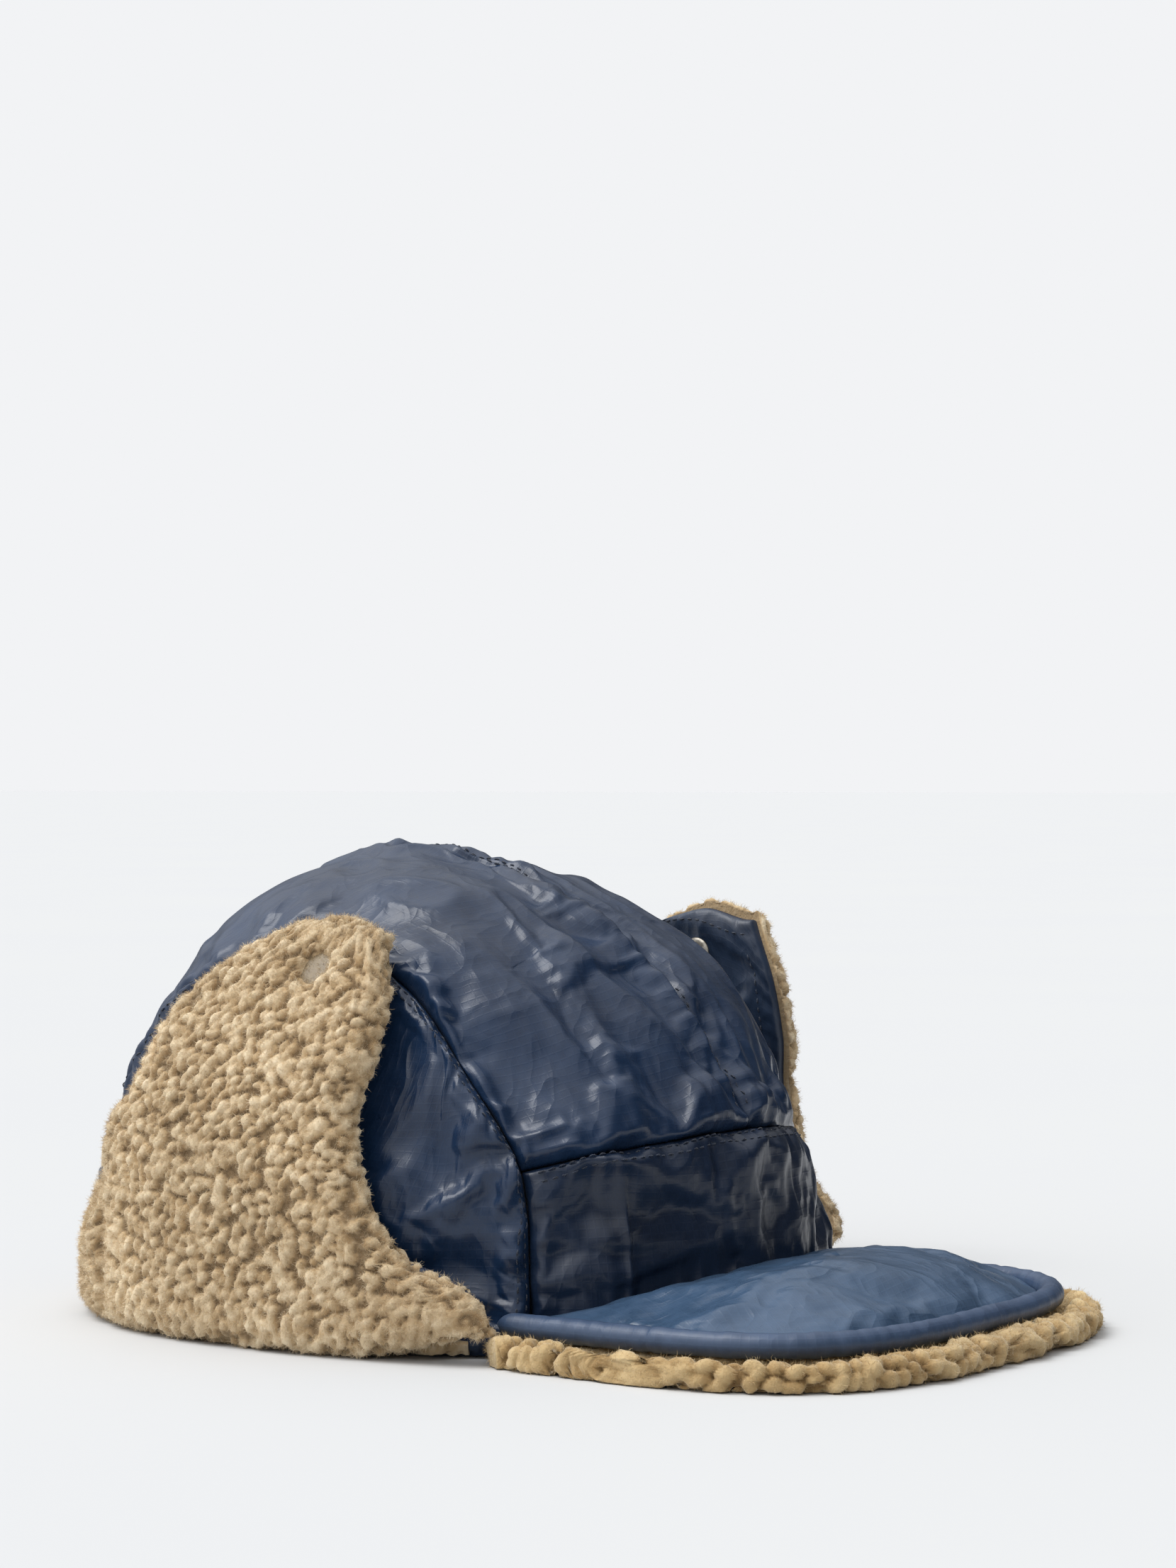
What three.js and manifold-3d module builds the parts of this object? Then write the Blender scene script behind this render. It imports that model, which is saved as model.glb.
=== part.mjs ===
// A padded nylon trapper hat: a five-panel crown, a soft visor, two ear flaps and a neck flap.
// Millimetres, +Z up. The visor points along -Y and the wearer's right is -X.
// The origin is the centre of the head opening, in the plane of the hem.
import * as THREE from 'three';
import { mergeVertices } from 'three/addons/utils/BufferGeometryUtils.js';
import Module from 'manifold-3d';

const wasm = await Module();
wasm.setup();

// ---- Driving dimensions ----
const CROWN = {
  halfWidth: 96,
  front: 114, // from the centre to the forehead
  back: 103,
  height: 144,
  shoulder: 40, // the wall is upright below this height
  ovalPower: 2.35, // 2 would be an ellipse, more is squarer
  apexBack: 8, // the highest point lies this far behind the centre
  frontPowers: [1.75, 0.68], // how the forehead leans back above the shoulder
  sidePowers: [2.2, 0.455],
};
// Each layer's inner and outer face, measured outward from the crown's outer surface.
const LAYER = {
  panel: [-0.8, 0],
  wadding: [-6.2, -1.5],
  lining: [-13.2, -7.5],
  flapShell: [3.2, 4.0],
  flapWadding: [4.5, 8.3],
  flapFleece: [8.8, 16.6],
};
const SEAM_INSET = 0.25; // each piece stops this far short of its seam line
const FOREHEAD_SEAM_HEIGHT = 62; // at the centre
// The side seam as (y, z), from the hem beside the visor, over the ear, to the hem at the back.
const SIDE_SEAM = [
  [-81, 0], [-81, 20], [-78, 53], [-60, 80], [-34, 105],
  [5, 118], [49, 103], [66, 90], [85, 50], [93, 0],
];
const SEAM_AT_FOREHEAD = 2 / 9; // where the forehead seam meets the side seam
const SEAM_AT_NAPE = 8 / 9; // where the side panel's arch turns down its back edge
const FLAP = {
  bottom: 5,
  frontBottom: -66,
  split: 58, // y of the cut between the ear flap and the neck flap
  neckBottom: 0.5,
  neckSideHeight: 60,
  neckBackHeight: 48,
};
// The ear flap's front and back edges above the hem, as (y, z) on the crown.
const FLAP_FRONT = [[FLAP.frontBottom, FLAP.bottom], [-62, 17], [-45, 34], [-35, 51], [-31, 66],
  [-33, 82], [-32, 96], [-24, 112]];
const FLAP_TOP = [[-24, 112], [-11, 115], [2, 113]];
const FLAP_BACK = [[FLAP.split, FLAP.neckSideHeight], [46, 72], [38, 88], [23, 103], [2, 113]];
const HINGE_X = CROWN.halfWidth + LAYER.flapShell[0];
const HINGE_Z = -0.5;
const LEFT_FLAP_LEAN = 8; // degrees that the unfastened flap stands off the vertical
// How far the front of the unfastened flap lies flat instead of round the crown, from y = start forward.
const LEFT_FLAP_FLAT = { share: 0.75, start: 20, over: 60, riseOver: 25, topLevel: 116 };
const SNAP = {
  y: -13,
  z: 103,
  capRadius: 7.5,
  socketRadius: 6,
  studRadius: 5.5,
  knobRadius: 3.4,
  postRadius: 1.7,
  holeRadius: 2.1,
};
const VISOR = {
  halfWidth: 94,
  tip: 197,
  sideFront: 118, // the straight side edge runs from sideBack to sideFront
  sideBack: 86,
  outlinePower: 3,
  rootGap: 2.2,
  rootHalfAngle: 47, // degrees each side of the front that the root spans
  crestRise: 14,
  rootDip: 3.5,
  flatRim: 8,
};
const VISOR_STACK = { fleece: 5, board: 1.4, padEdge: 0.8, padCrown: 5, cover: 0.8, gap: 0.5 };
const VISOR_INSET = { piping: 11, inner: 16 };
const PIPING = { radius: 3.6, wall: 0.8, cordRadius: 2.4, backEnd: 78, backBend: 98 };
const LABEL = { width: 28, height: 14, thickness: 0.7, bottom: 8 };

const COLOUR = {
  nylon: 0x2c4667,
  fleece: 0xbfa67f,
  wadding: 0xe9e7e1,
  board: 0x3a3d42,
  metal: 0x8d7b58,
  cap: 0x8a744e,
  label: 0xd8d4ca,
};

// ---- The crown's outer surface ----
const HEART = new THREE.Vector3(0, 0, 30); // every ray from here meets the dome once

function clamp01(value) {
  return Math.min(1, Math.max(0, value));
}

function smooth(value) {
  const t = clamp01(value);
  return t * t * (3 - 2 * t);
}

function riseAt(z) {
  return clamp01((z - CROWN.shoulder) / (CROWN.height - CROWN.shoulder));
}

// Half-widths of the oval plan at height z, and how far back its centre lies.
function ovalAt(z) {
  const rise = riseAt(z);
  const side = (1 - rise ** CROWN.sidePowers[0]) ** CROWN.sidePowers[1];
  const front = (1 - rise ** CROWN.frontPowers[0]) ** CROWN.frontPowers[1];
  return {
    x: CROWN.halfWidth * side,
    front: CROWN.front * front,
    back: CROWN.back * side,
    centre: CROWN.apexBack * rise ** 2,
  };
}

function isInsideDome(p) {
  if (p.z >= CROWN.height) return false;
  const oval = ovalAt(p.z);
  const y = p.y - oval.centre;
  const reach = y < 0 ? oval.front : oval.back;
  const power = CROWN.ovalPower;
  return Math.abs(p.x / oval.x) ** power + Math.abs(y / reach) ** power < 1;
}

function projectToDome(p) {
  const ray = p.clone().sub(HEART);
  let low = 0.1;
  let high = 4;
  for (let step = 0; step < 44; step += 1) {
    const middle = (low + high) / 2;
    if (isInsideDome(HEART.clone().addScaledVector(ray, middle))) low = middle;
    else high = middle;
  }
  return HEART.clone().addScaledVector(ray, low);
}

// The point of the crown's right-hand side at (y, z).
function rightPoint(y, z) {
  const oval = ovalAt(z);
  const reach = y < oval.centre ? oval.front : oval.back;
  const share = clamp01(1 - Math.abs((y - oval.centre) / reach) ** CROWN.ovalPower);
  return new THREE.Vector3(-oval.x * share ** (1 / CROWN.ovalPower), y, z);
}

// The point at height z in the plan direction of angle, where 0 is the front and 90 the right.
function aroundPoint(degrees, z) {
  const angle = THREE.MathUtils.degToRad(degrees);
  const oval = ovalAt(z);
  const ray = new THREE.Vector3(-Math.sin(angle), -Math.cos(angle), 0);
  const reach = ray.y < 0 ? oval.front : oval.back;
  const power = CROWN.ovalPower;
  const sum = Math.abs(ray.x / oval.x) ** power + Math.abs(ray.y / reach) ** power;
  return ray.multiplyScalar(sum ** (-1 / power)).add(new THREE.Vector3(0, oval.centre, z));
}

function angleOf(p) {
  return THREE.MathUtils.radToDeg(Math.atan2(-p.x, -p.y));
}

function domeNormal(p) {
  const ray = p.clone().sub(HEART).normalize();
  const helper = Math.abs(ray.z) < 0.9 ? new THREE.Vector3(0, 0, 1) : new THREE.Vector3(0, 1, 0);
  const across = new THREE.Vector3().crossVectors(helper, ray).normalize();
  const along = new THREE.Vector3().crossVectors(ray, across);
  const step = 0.6;
  const slopes = [across, along].map((direction) => {
    const ahead = projectToDome(p.clone().addScaledVector(direction, step));
    return ahead.sub(projectToDome(p.clone().addScaledVector(direction, -step)));
  });
  return new THREE.Vector3().crossVectors(slopes[0], slopes[1]).normalize();
}

function offsetFromDome(p, distance) {
  return p.clone().addScaledVector(domeNormal(p), distance);
}

// ---- Sheets: a box of cells bent onto a four-sided patch ----
function mix(from, to, share) {
  return from + (to - from) * share;
}

function mirrored(p) {
  return new THREE.Vector3(-p.x, p.y, p.z);
}

// The Coons patch between four edge curves, at (u, v).
function coonsPoint(edges, u, v) {
  const corner = (a, b) => (b ? edges.top(a) : edges.bottom(a));
  const point = new THREE.Vector3();
  point.addScaledVector(edges.bottom(u), 1 - v);
  point.addScaledVector(edges.top(u), v);
  point.addScaledVector(edges.left(v), 1 - u);
  point.addScaledVector(edges.right(v), u);
  point.addScaledVector(corner(0, 0), -(1 - u) * (1 - v));
  point.addScaledVector(corner(1, 0), -u * (1 - v));
  point.addScaledVector(corner(0, 1), -(1 - u) * v);
  point.addScaledVector(corner(1, 1), -u * v);
  return point;
}

function signedVolume(geometry) {
  const position = geometry.getAttribute('position');
  const index = geometry.getIndex();
  const corners = [new THREE.Vector3(), new THREE.Vector3(), new THREE.Vector3()];
  let volume = 0;
  for (let i = 0; i < index.count; i += 3) {
    corners.forEach((corner, k) => corner.fromBufferAttribute(position, index.getX(i + k)));
    volume += corners[0].dot(corners[1].clone().cross(corners[2])) / 6;
  }
  return volume;
}

function positionsOnly(geometry) {
  geometry.deleteAttribute('normal');
  geometry.deleteAttribute('uv');
  return mergeVertices(geometry, 1e-4);
}

function turnOutward(geometry) {
  if (signedVolume(geometry) > 0) return geometry;
  const index = geometry.getIndex();
  for (let i = 0; i < index.count; i += 3) {
    const first = index.getX(i);
    index.setX(i, index.getX(i + 1));
    index.setX(i + 1, first);
  }
  return geometry;
}

// Gives the box's low face the same diagonals as its high face, so that stacked sheets stay parallel.
function matchDiagonals(geometry) {
  const position = geometry.getAttribute('position');
  const index = geometry.getIndex();
  for (let i = 0; i < index.count; i += 6) {
    const [a, b, d, , c] = Array.from({ length: 6 }, (_, k) => index.getX(i + k));
    if ([a, b, c, d].every((vertex) => position.getZ(vertex) < 0)) {
      [a, b, c, a, c, d].forEach((vertex, k) => index.setX(i + k, vertex));
    }
  }
}

// mapping takes (u, v, w), each from 0 to 1, to a point. w runs through the thickness.
function bentBox(cells, mapping) {
  const geometry = positionsOnly(new THREE.BoxGeometry(1, 1, 1, cells[0], cells[1], 1));
  matchDiagonals(geometry);
  const position = geometry.getAttribute('position');
  for (let i = 0; i < position.count; i += 1) {
    const p = mapping(position.getX(i) + 0.5, position.getY(i) + 0.5, position.getZ(i) + 0.5);
    position.setXYZ(i, p.x, p.y, p.z);
  }
  return turnOutward(geometry);
}

function crownSheet(patch, layer) {
  const inU = SEAM_INSET / patch.size[0];
  const inV = SEAM_INSET / patch.size[1];
  const openBottom = patch.bottomIsHem ? 0 : inV;
  const openTop = patch.topIsHem ? 1 : 1 - inV;
  return bentBox(patch.cells, (u, v, w) => {
    const flat = coonsPoint(patch.edges, mix(inU, 1 - inU, u), mix(openBottom, openTop, v));
    return offsetFromDome(projectToDome(flat), mix(layer[0], layer[1], w));
  });
}

// ---- Seam lines ----
function sideCurve(points) {
  return new THREE.CatmullRomCurve3(points.map(([y, z]) => new THREE.Vector3(0, y, z)));
}

function onRightSide(curve, share) {
  const p = curve.getPoint(share);
  return rightPoint(p.y, p.z);
}

const sideSeam = sideCurve(SIDE_SEAM);
const foreheadCorner = onRightSide(sideSeam, SEAM_AT_FOREHEAD);
const foreheadCentre = aroundPoint(0, FOREHEAD_SEAM_HEIGHT);
const foreheadSeam = new THREE.CatmullRomCurve3([
  foreheadCorner, foreheadCentre, mirrored(foreheadCorner),
]);
const ARCH_CELLS = 14;
const EDGE_CELLS = 4;
const BAND_CELLS = 10;

function hemBetween(fromDegrees, toDegrees) {
  return (share) => aroundPoint(mix(fromDegrees, toDegrees, share), 0);
}

// The side seam from the forehead seam to the back hem, with a knot at the nape.
function topSeamShare(share) {
  const knot = ARCH_CELLS / (ARCH_CELLS + EDGE_CELLS);
  if (share < knot) return mix(SEAM_AT_FOREHEAD, SEAM_AT_NAPE, share / knot);
  return mix(SEAM_AT_NAPE, 1, (share - knot) / (1 - knot));
}

// The whole side seam, with a knot at the forehead seam as well.
function wholeSeamShare(share) {
  const knot = EDGE_CELLS / (ARCH_CELLS + 2 * EDGE_CELLS);
  if (share < knot) return mix(0, SEAM_AT_FOREHEAD, share / knot);
  return topSeamShare((share - knot) / (1 - knot));
}

// The centre seam, swept as an angle about HEART from the forehead seam to the back hem.
function centreSeam(share) {
  const start = Math.atan2(foreheadCentre.z - HEART.z, -foreheadCentre.y);
  const end = Math.PI + Math.atan2(HEART.z, CROWN.back);
  const angle = mix(start, end, share);
  const ahead = new THREE.Vector3(0, -Math.cos(angle), Math.sin(angle));
  return projectToDome(ahead.multiplyScalar(CROWN.front).add(HEART));
}

const frontHemAngle = angleOf(rightPoint(...SIDE_SEAM[0]));
const backHemAngle = angleOf(rightPoint(...SIDE_SEAM.at(-1)));

const sidePatch = {
  cells: [ARCH_CELLS, EDGE_CELLS],
  size: [160, 100],
  bottomIsHem: true,
  edges: {
    bottom: hemBetween(frontHemAngle, backHemAngle),
    top: (u) => onRightSide(sideSeam, mix(SEAM_AT_FOREHEAD, SEAM_AT_NAPE, u)),
    left: (v) => onRightSide(sideSeam, mix(0, SEAM_AT_FOREHEAD, v)),
    right: (v) => onRightSide(sideSeam, mix(1, SEAM_AT_NAPE, v)),
  },
};
const topPatch = {
  cells: [BAND_CELLS / 2, ARCH_CELLS + EDGE_CELLS],
  size: [70, 260],
  topIsHem: true,
  edges: {
    bottom: (u) => projectToDome(foreheadSeam.getPoint(u / 2)),
    top: hemBetween(backHemAngle, 180),
    left: (v) => onRightSide(sideSeam, topSeamShare(v)),
    right: centreSeam,
  },
};
const bandPatch = {
  cells: [BAND_CELLS, EDGE_CELLS],
  size: [180, 55],
  bottomIsHem: true,
  edges: {
    bottom: hemBetween(frontHemAngle, -frontHemAngle),
    top: (u) => projectToDome(foreheadSeam.getPoint(u)),
    left: (v) => onRightSide(sideSeam, mix(0, SEAM_AT_FOREHEAD, v)),
    right: (v) => mirrored(onRightSide(sideSeam, mix(0, SEAM_AT_FOREHEAD, v))),
  },
};
const liningCentrePatch = {
  cells: [8, ARCH_CELLS + 2 * EDGE_CELLS],
  size: [140, 330],
  bottomIsHem: true,
  topIsHem: true,
  edges: {
    bottom: hemBetween(frontHemAngle, -frontHemAngle),
    top: hemBetween(backHemAngle, 360 - backHemAngle),
    left: (v) => onRightSide(sideSeam, wholeSeamShare(v)),
    right: (v) => mirrored(onRightSide(sideSeam, wholeSeamShare(v))),
  },
};

// ---- Flap patches, on the crown's surface ----
const flapFront = sideCurve(FLAP_FRONT);
const flapTop = sideCurve(FLAP_TOP);
const flapBack = sideCurve(FLAP_BACK);
const SPLIT_SHARE = 0.4; // the share of the flap's back edge that lies on the split

function flapBackEdge(v) {
  if (v < SPLIT_SHARE) {
    return rightPoint(FLAP.split, mix(FLAP.bottom, FLAP.neckSideHeight, v / SPLIT_SHARE));
  }
  return onRightSide(flapBack, (v - SPLIT_SHARE) / (1 - SPLIT_SHARE));
}

const earFlapPatch = {
  cells: [9, 10],
  size: [90, 120],
  bottomIsHem: true,
  topIsHem: true,
  edges: {
    bottom: (u) => rightPoint(mix(FLAP.frontBottom, FLAP.split, u), FLAP.bottom),
    top: (u) => onRightSide(flapTop, u),
    left: (v) => onRightSide(flapFront, v),
    right: flapBackEdge,
  },
};
const splitAngle = angleOf(rightPoint(FLAP.split, 0));

function neckTop(u) {
  const dip = Math.sin(Math.PI * u);
  const height = mix(FLAP.neckSideHeight, FLAP.neckBackHeight, dip);
  const start = angleOf(rightPoint(FLAP.split, FLAP.neckSideHeight));
  return aroundPoint(mix(start, 360 - start, u), height);
}

const neckFlapPatch = {
  cells: [16, 4],
  size: [150, 50],
  bottomIsHem: true,
  topIsHem: true,
  edges: {
    bottom: (u) => aroundPoint(mix(splitAngle, 360 - splitAngle, u), FLAP.neckBottom),
    top: neckTop,
    left: (v) => rightPoint(FLAP.split, mix(FLAP.neckBottom, FLAP.neckSideHeight, v)),
    right: (v) => mirrored(rightPoint(FLAP.split, mix(FLAP.neckBottom, FLAP.neckSideHeight, v))),
  },
};

// ---- Visor ----
// 0 over the middle of the visor, 1 from the inner side of its flat rim outward.
function visorEdgeShare(x, y) {
  const side = x / (VISOR.halfWidth - VISOR.flatRim);
  const ahead = Math.max(0, -y - VISOR.sideFront);
  const forward = ahead / (VISOR.tip - VISOR.flatRim - VISOR.sideFront);
  const power = VISOR.outlinePower;
  return clamp01((Math.abs(side) ** power + forward ** power) ** (1 / power));
}

function visorUnderside(x, y) {
  const share = visorEdgeShare(x, y);
  const dip = VISOR.rootDip * (1 - smooth((-y - CROWN.front) / 30));
  return 0.4 + (1 - share ** 2) * (VISOR.crestRise - dip);
}

// The height of each of the visor's faces over its underside, at (x, y).
function visorFaces(x, y) {
  const { fleece, board, padEdge, padCrown, cover, gap } = VISOR_STACK;
  const pad = padEdge + padCrown * (1 - visorEdgeShare(x, y) ** 3);
  const boardTop = fleece + gap + board;
  const padTop = boardTop + gap + pad;
  return {
    fleece: [0, fleece],
    board: [fleece + gap, boardTop],
    padding: [boardTop + gap, padTop],
    cover: [padTop + gap, padTop + gap + cover],
  };
}

function visorFront(u, inset) {
  const turn = Math.PI * u;
  const power = 2 / VISOR.outlinePower;
  const x = -Math.sign(Math.cos(turn)) * Math.abs(Math.cos(turn)) ** power;
  const reach = VISOR.tip - VISOR.sideFront - inset;
  const y = -VISOR.sideFront - reach * Math.sin(turn) ** power;
  return new THREE.Vector3(x * (VISOR.halfWidth - inset), y, 0);
}

// The visor's back edge: along the crown's front, with a rounded corner at each end.
function visorRoot(inset) {
  const halfAngle = VISOR.rootHalfAngle - 0.31 * inset;
  const sideX = VISOR.halfWidth - inset;
  const arcCount = 8;
  const arc = [];
  for (let i = 0; i <= arcCount; i += 1) {
    const onCrown = aroundPoint(mix(halfAngle, -halfAngle, i / arcCount), 0);
    arc.push(offsetFromDome(onCrown, VISOR.rootGap));
  }
  const slack = sideX + arc[0].x;
  const corner = [
    new THREE.Vector3(-sideX, -VISOR.sideBack, 0),
    new THREE.Vector3(-sideX + 0.2 * slack, mix(-VISOR.sideBack, arc[0].y, 0.5), 0),
    new THREE.Vector3(-sideX + 0.55 * slack, mix(-VISOR.sideBack, arc[0].y, 0.9), 0),
  ];
  const otherCorner = corner.map(mirrored).reverse();
  return new THREE.CatmullRomCurve3([...corner, ...arc, ...otherCorner]);
}

function visorSheet(faceName, inset) {
  const root = visorRoot(inset);
  const sideX = VISOR.halfWidth - inset;
  const sideEdge = (x) => (v) => new THREE.Vector3(x, -mix(VISOR.sideBack, VISOR.sideFront, v), 0);
  const edges = {
    bottom: (u) => root.getPoint(u),
    top: (u) => visorFront(u, inset),
    left: sideEdge(-sideX),
    right: sideEdge(sideX),
  };
  return bentBox(VISOR_CELLS, (u, v, w) => {
    const p = coonsPoint(edges, u, v);
    const face = visorFaces(p.x, p.y)[faceName];
    p.z = visorUnderside(p.x, p.y) + mix(face[0], face[1], w);
    return p;
  });
}

// The line of the piping, along the edge of the cover from corner to corner.
function pipingPath() {
  const inset = VISOR_INSET.piping;
  const sideX = VISOR.halfWidth - inset;
  const back = [PIPING.backEnd, PIPING.backBend].map((y) => new THREE.Vector3(-sideX, -y, 0));
  const front = [];
  const count = 12;
  for (let i = 0; i <= count; i += 1) front.push(visorFront(i / count, inset));
  const points = [...back, ...front, ...back.map(mirrored).reverse()];
  points.forEach((p) => {
    p.z = visorUnderside(p.x, p.y) + VISOR_STACK.fleece + 2 * VISOR_STACK.gap + PIPING.radius;
  });
  return new THREE.CatmullRomCurve3(points);
}

const VISOR_CELLS = [20, 8];
const PIPING_CELLS = 24;

// A tube wrapped round the piping's cord, open along a slot towards the visor.
function pipingCover(path) {
  const slot = THREE.MathUtils.degToRad(50);
  return bentBox([PIPING_CELLS, 6], (u, v, w) => {
    const centre = path.getPoint(u);
    const ahead = path.getTangent(u);
    const inward = new THREE.Vector3(ahead.y, -ahead.x, 0).normalize();
    const angle = mix(slot, 2 * Math.PI - slot, v);
    const radius = mix(PIPING.radius - PIPING.wall, PIPING.radius, w);
    centre.addScaledVector(inward, -radius * Math.cos(angle));
    centre.z += radius * Math.sin(angle);
    return centre;
  });
}

function pipingCord(path) {
  const section = new THREE.Shape();
  section.absarc(0, 0, PIPING.cordRadius, 0, 2 * Math.PI);
  const options = { extrudePath: path, steps: PIPING_CELLS, curveSegments: 3, bevelEnabled: false };
  return new THREE.ExtrudeGeometry(section, options);
}

// ---- Snap fasteners ----
// A turned part whose profile is a list of (radius, height along the snap's axis).
function turned(profile) {
  const points = profile.map(([radius, height]) => new THREE.Vector2(radius, height));
  const geometry = new THREE.LatheGeometry(points, 10);
  return geometry.rotateX(Math.PI / 2);
}

// Places a turned part on the crown at the snap, with its axis along the surface's normal.
function atSnap(geometry) {
  const foot = rightPoint(SNAP.y, SNAP.z);
  const turn = new THREE.Quaternion().setFromUnitVectors(
    new THREE.Vector3(0, 0, 1),
    domeNormal(foot),
  );
  return geometry.applyQuaternion(turn).translate(foot.x, foot.y, foot.z);
}

function snapStud() {
  const { studRadius, knobRadius } = SNAP;
  return atSnap(turned([[0, 0.25], [studRadius, 0.25], [studRadius, 0.85], [knobRadius - 0.5, 0.85],
    [knobRadius, 1.4], [knobRadius - 0.4, 1.7], [0, 1.7]]));
}

function snapRivet() {
  const { studRadius, postRadius } = SNAP;
  return atSnap(turned([[0, -6.3], [studRadius, -6.3], [studRadius, -5.4], [postRadius, -5.4],
    [postRadius, -0.05], [0, -0.05]]));
}

function snapSocket() {
  const { socketRadius } = SNAP;
  const bore = 4.3;
  return atSnap(turned([[0, 2.1], [bore, 2.1], [bore, 1.2], [socketRadius - 0.5, 1.2],
    [socketRadius, 1.6], [socketRadius, 2.5], [0, 2.5]]));
}

function snapCap() {
  const { capRadius, postRadius } = SNAP;
  const top = LAYER.flapFleece[1];
  return atSnap(turned([[0, 3.2], [postRadius, 3.2], [postRadius, top - 3], [capRadius - 0.6, top - 3],
    [capRadius, top - 2], [capRadius - 1.4, top - 0.9], [3.5, top - 0.3], [0, top - 0.1]]));
}

function snapHole(radius, from, to) {
  return atSnap(turned([[0, from], [radius, from], [radius, to], [0, to]]));
}

// ---- Cutting ----
function toManifold(geometry) {
  const merged = positionsOnly(geometry.clone());
  return new wasm.Manifold(new wasm.Mesh({
    numProp: 3,
    vertProperties: new Float32Array(merged.getAttribute('position').array),
    triVerts: new Uint32Array(merged.getIndex().array),
  }));
}

function cut(geometry, ...tools) {
  let solid = toManifold(geometry);
  tools.forEach((tool) => {
    solid = solid.subtract(toManifold(turnOutward(positionsOnly(tool))));
  });
  const mesh = solid.getMesh();
  const result = new THREE.BufferGeometry();
  result.setAttribute('position', new THREE.BufferAttribute(mesh.vertProperties.slice(), 3));
  result.setIndex(new THREE.BufferAttribute(mesh.triVerts.slice(), 1));
  return result;
}

// ---- Assembly ----
function material(colour, roughness, metalness = 0) {
  return new THREE.MeshStandardMaterial({ color: colour, roughness, metalness });
}

const FINISH = {
  nylon: () => material(COLOUR.nylon, 0.42),
  fleece: () => material(COLOUR.fleece, 0.95),
  wadding: () => material(COLOUR.wadding, 0.9),
  board: () => material(COLOUR.board, 0.6),
  metal: () => material(COLOUR.metal, 0.35, 0.9),
  cap: () => material(COLOUR.cap, 0.45),
  label: () => material(COLOUR.label, 0.8),
};

function named(name, geometry, finish) {
  const outward = turnOutward(positionsOnly(geometry));
  outward.computeVertexNormals();
  const mesh = new THREE.Mesh(outward, FINISH[finish]());
  mesh.name = name;
  return mesh;
}

// A copy reflected across the centre plane.
function mirrorGeometry(geometry) {
  const copy = geometry.clone().applyMatrix4(new THREE.Matrix4().makeScale(-1, 1, 1));
  return turnOutward(positionsOnly(copy));
}

function sidePieces() {
  const panelHole = snapHole(SNAP.holeRadius, -4, 1);
  const waddingHole = snapHole(SNAP.holeRadius, -7, 1);
  const rivetPocket = snapHole(SNAP.studRadius + 0.5, -8, -5);
  return [
    ['side_panel', cut(crownSheet(sidePatch, LAYER.panel), panelHole), 'nylon'],
    ['side_wadding', cut(crownSheet(sidePatch, LAYER.wadding), waddingHole, rivetPocket), 'wadding'],
    ['lining_side', crownSheet(sidePatch, LAYER.lining), 'fleece'],
    ['top_panel', crownSheet(topPatch, LAYER.panel), 'nylon'],
    ['top_wadding', crownSheet(topPatch, LAYER.wadding), 'wadding'],
    ['snap_stud', snapStud(), 'metal'],
    ['snap_rivet', snapRivet(), 'metal'],
  ];
}

function earFlapPieces(sheetOf, atSide) {
  const hole = () => atSide(snapHole(SNAP.holeRadius, 1, 20));
  const capPocket = atSide(snapHole(SNAP.capRadius + 0.5, LAYER.flapFleece[1] - 3.4, 25));
  return [
    ['ear_flap_shell', cut(sheetOf(LAYER.flapShell), hole()), 'nylon'],
    ['ear_flap_wadding', cut(sheetOf(LAYER.flapWadding), hole()), 'wadding'],
    ['ear_flap_fleece', cut(sheetOf(LAYER.flapFleece), hole(), capPocket), 'fleece'],
    ['snap_socket', atSide(snapSocket()), 'metal'],
    ['snap_cap', atSide(snapCap()), 'cap'],
  ];
}

// The crown's side as seen from the front: its x at each height, and the run along it from the hem.
function sideTrace() {
  const trace = [];
  const topHeight = CROWN.height - 6;
  for (let z = 0; z <= topHeight; z += 1) {
    const { x } = ovalAt(z);
    const last = trace[trace.length - 1];
    const run = last ? last.run + Math.hypot(x - last.x, z - last.z) : 0;
    trace.push({ x, z, run });
  }
  return trace;
}

const SIDE_TRACE = sideTrace();

// Where a point of the left side is against that trace: its run, how far outside it is, and its tilt.
function onSideTrace(x, z) {
  let best = { gap: Infinity };
  for (let i = 1; i < SIDE_TRACE.length; i += 1) {
    const from = SIDE_TRACE[i - 1];
    const length = SIDE_TRACE[i].run - from.run;
    const alongX = (SIDE_TRACE[i].x - from.x) / length;
    const alongZ = (SIDE_TRACE[i].z - from.z) / length;
    const place = (x - from.x) * alongX + (z - from.z) * alongZ;
    const travel = THREE.MathUtils.clamp(place, 0, length);
    const dx = x - from.x - alongX * travel;
    const dz = z - from.z - alongZ * travel;
    const gap = Math.hypot(dx, dz);
    if (gap < best.gap) {
      best = {
        gap,
        run: from.run + travel,
        out: dx * alongZ - dz * alongX,
        tilt: Math.atan2(-alongX, alongZ),
      };
    }
  }
  return best;
}

// Where a point of the left flap goes when the flap is unrolled from the crown to stand upright.
function unrolled(p) {
  const trace = onSideTrace(p.x, p.z);
  const flat = LEFT_FLAP_FLAT;
  const level = Math.min(p.z, flat.topLevel);
  const hollow = -rightPoint(p.y, level).x - ovalAt(level).x;
  const forward = smooth((flat.start - p.y) / flat.over);
  const share = flat.share * forward * smooth(trace.run / flat.riseOver);
  return new THREE.Vector3(CROWN.halfWidth + trace.out - share * hollow, p.y, trace.run);
}

function unrolledSheet(geometry) {
  const position = geometry.getAttribute('position');
  const p = new THREE.Vector3();
  for (let i = 0; i < position.count; i += 1) {
    const moved = unrolled(p.fromBufferAttribute(position, i));
    position.setXYZ(i, moved.x, moved.y, moved.z);
  }
  return geometry;
}

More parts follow.
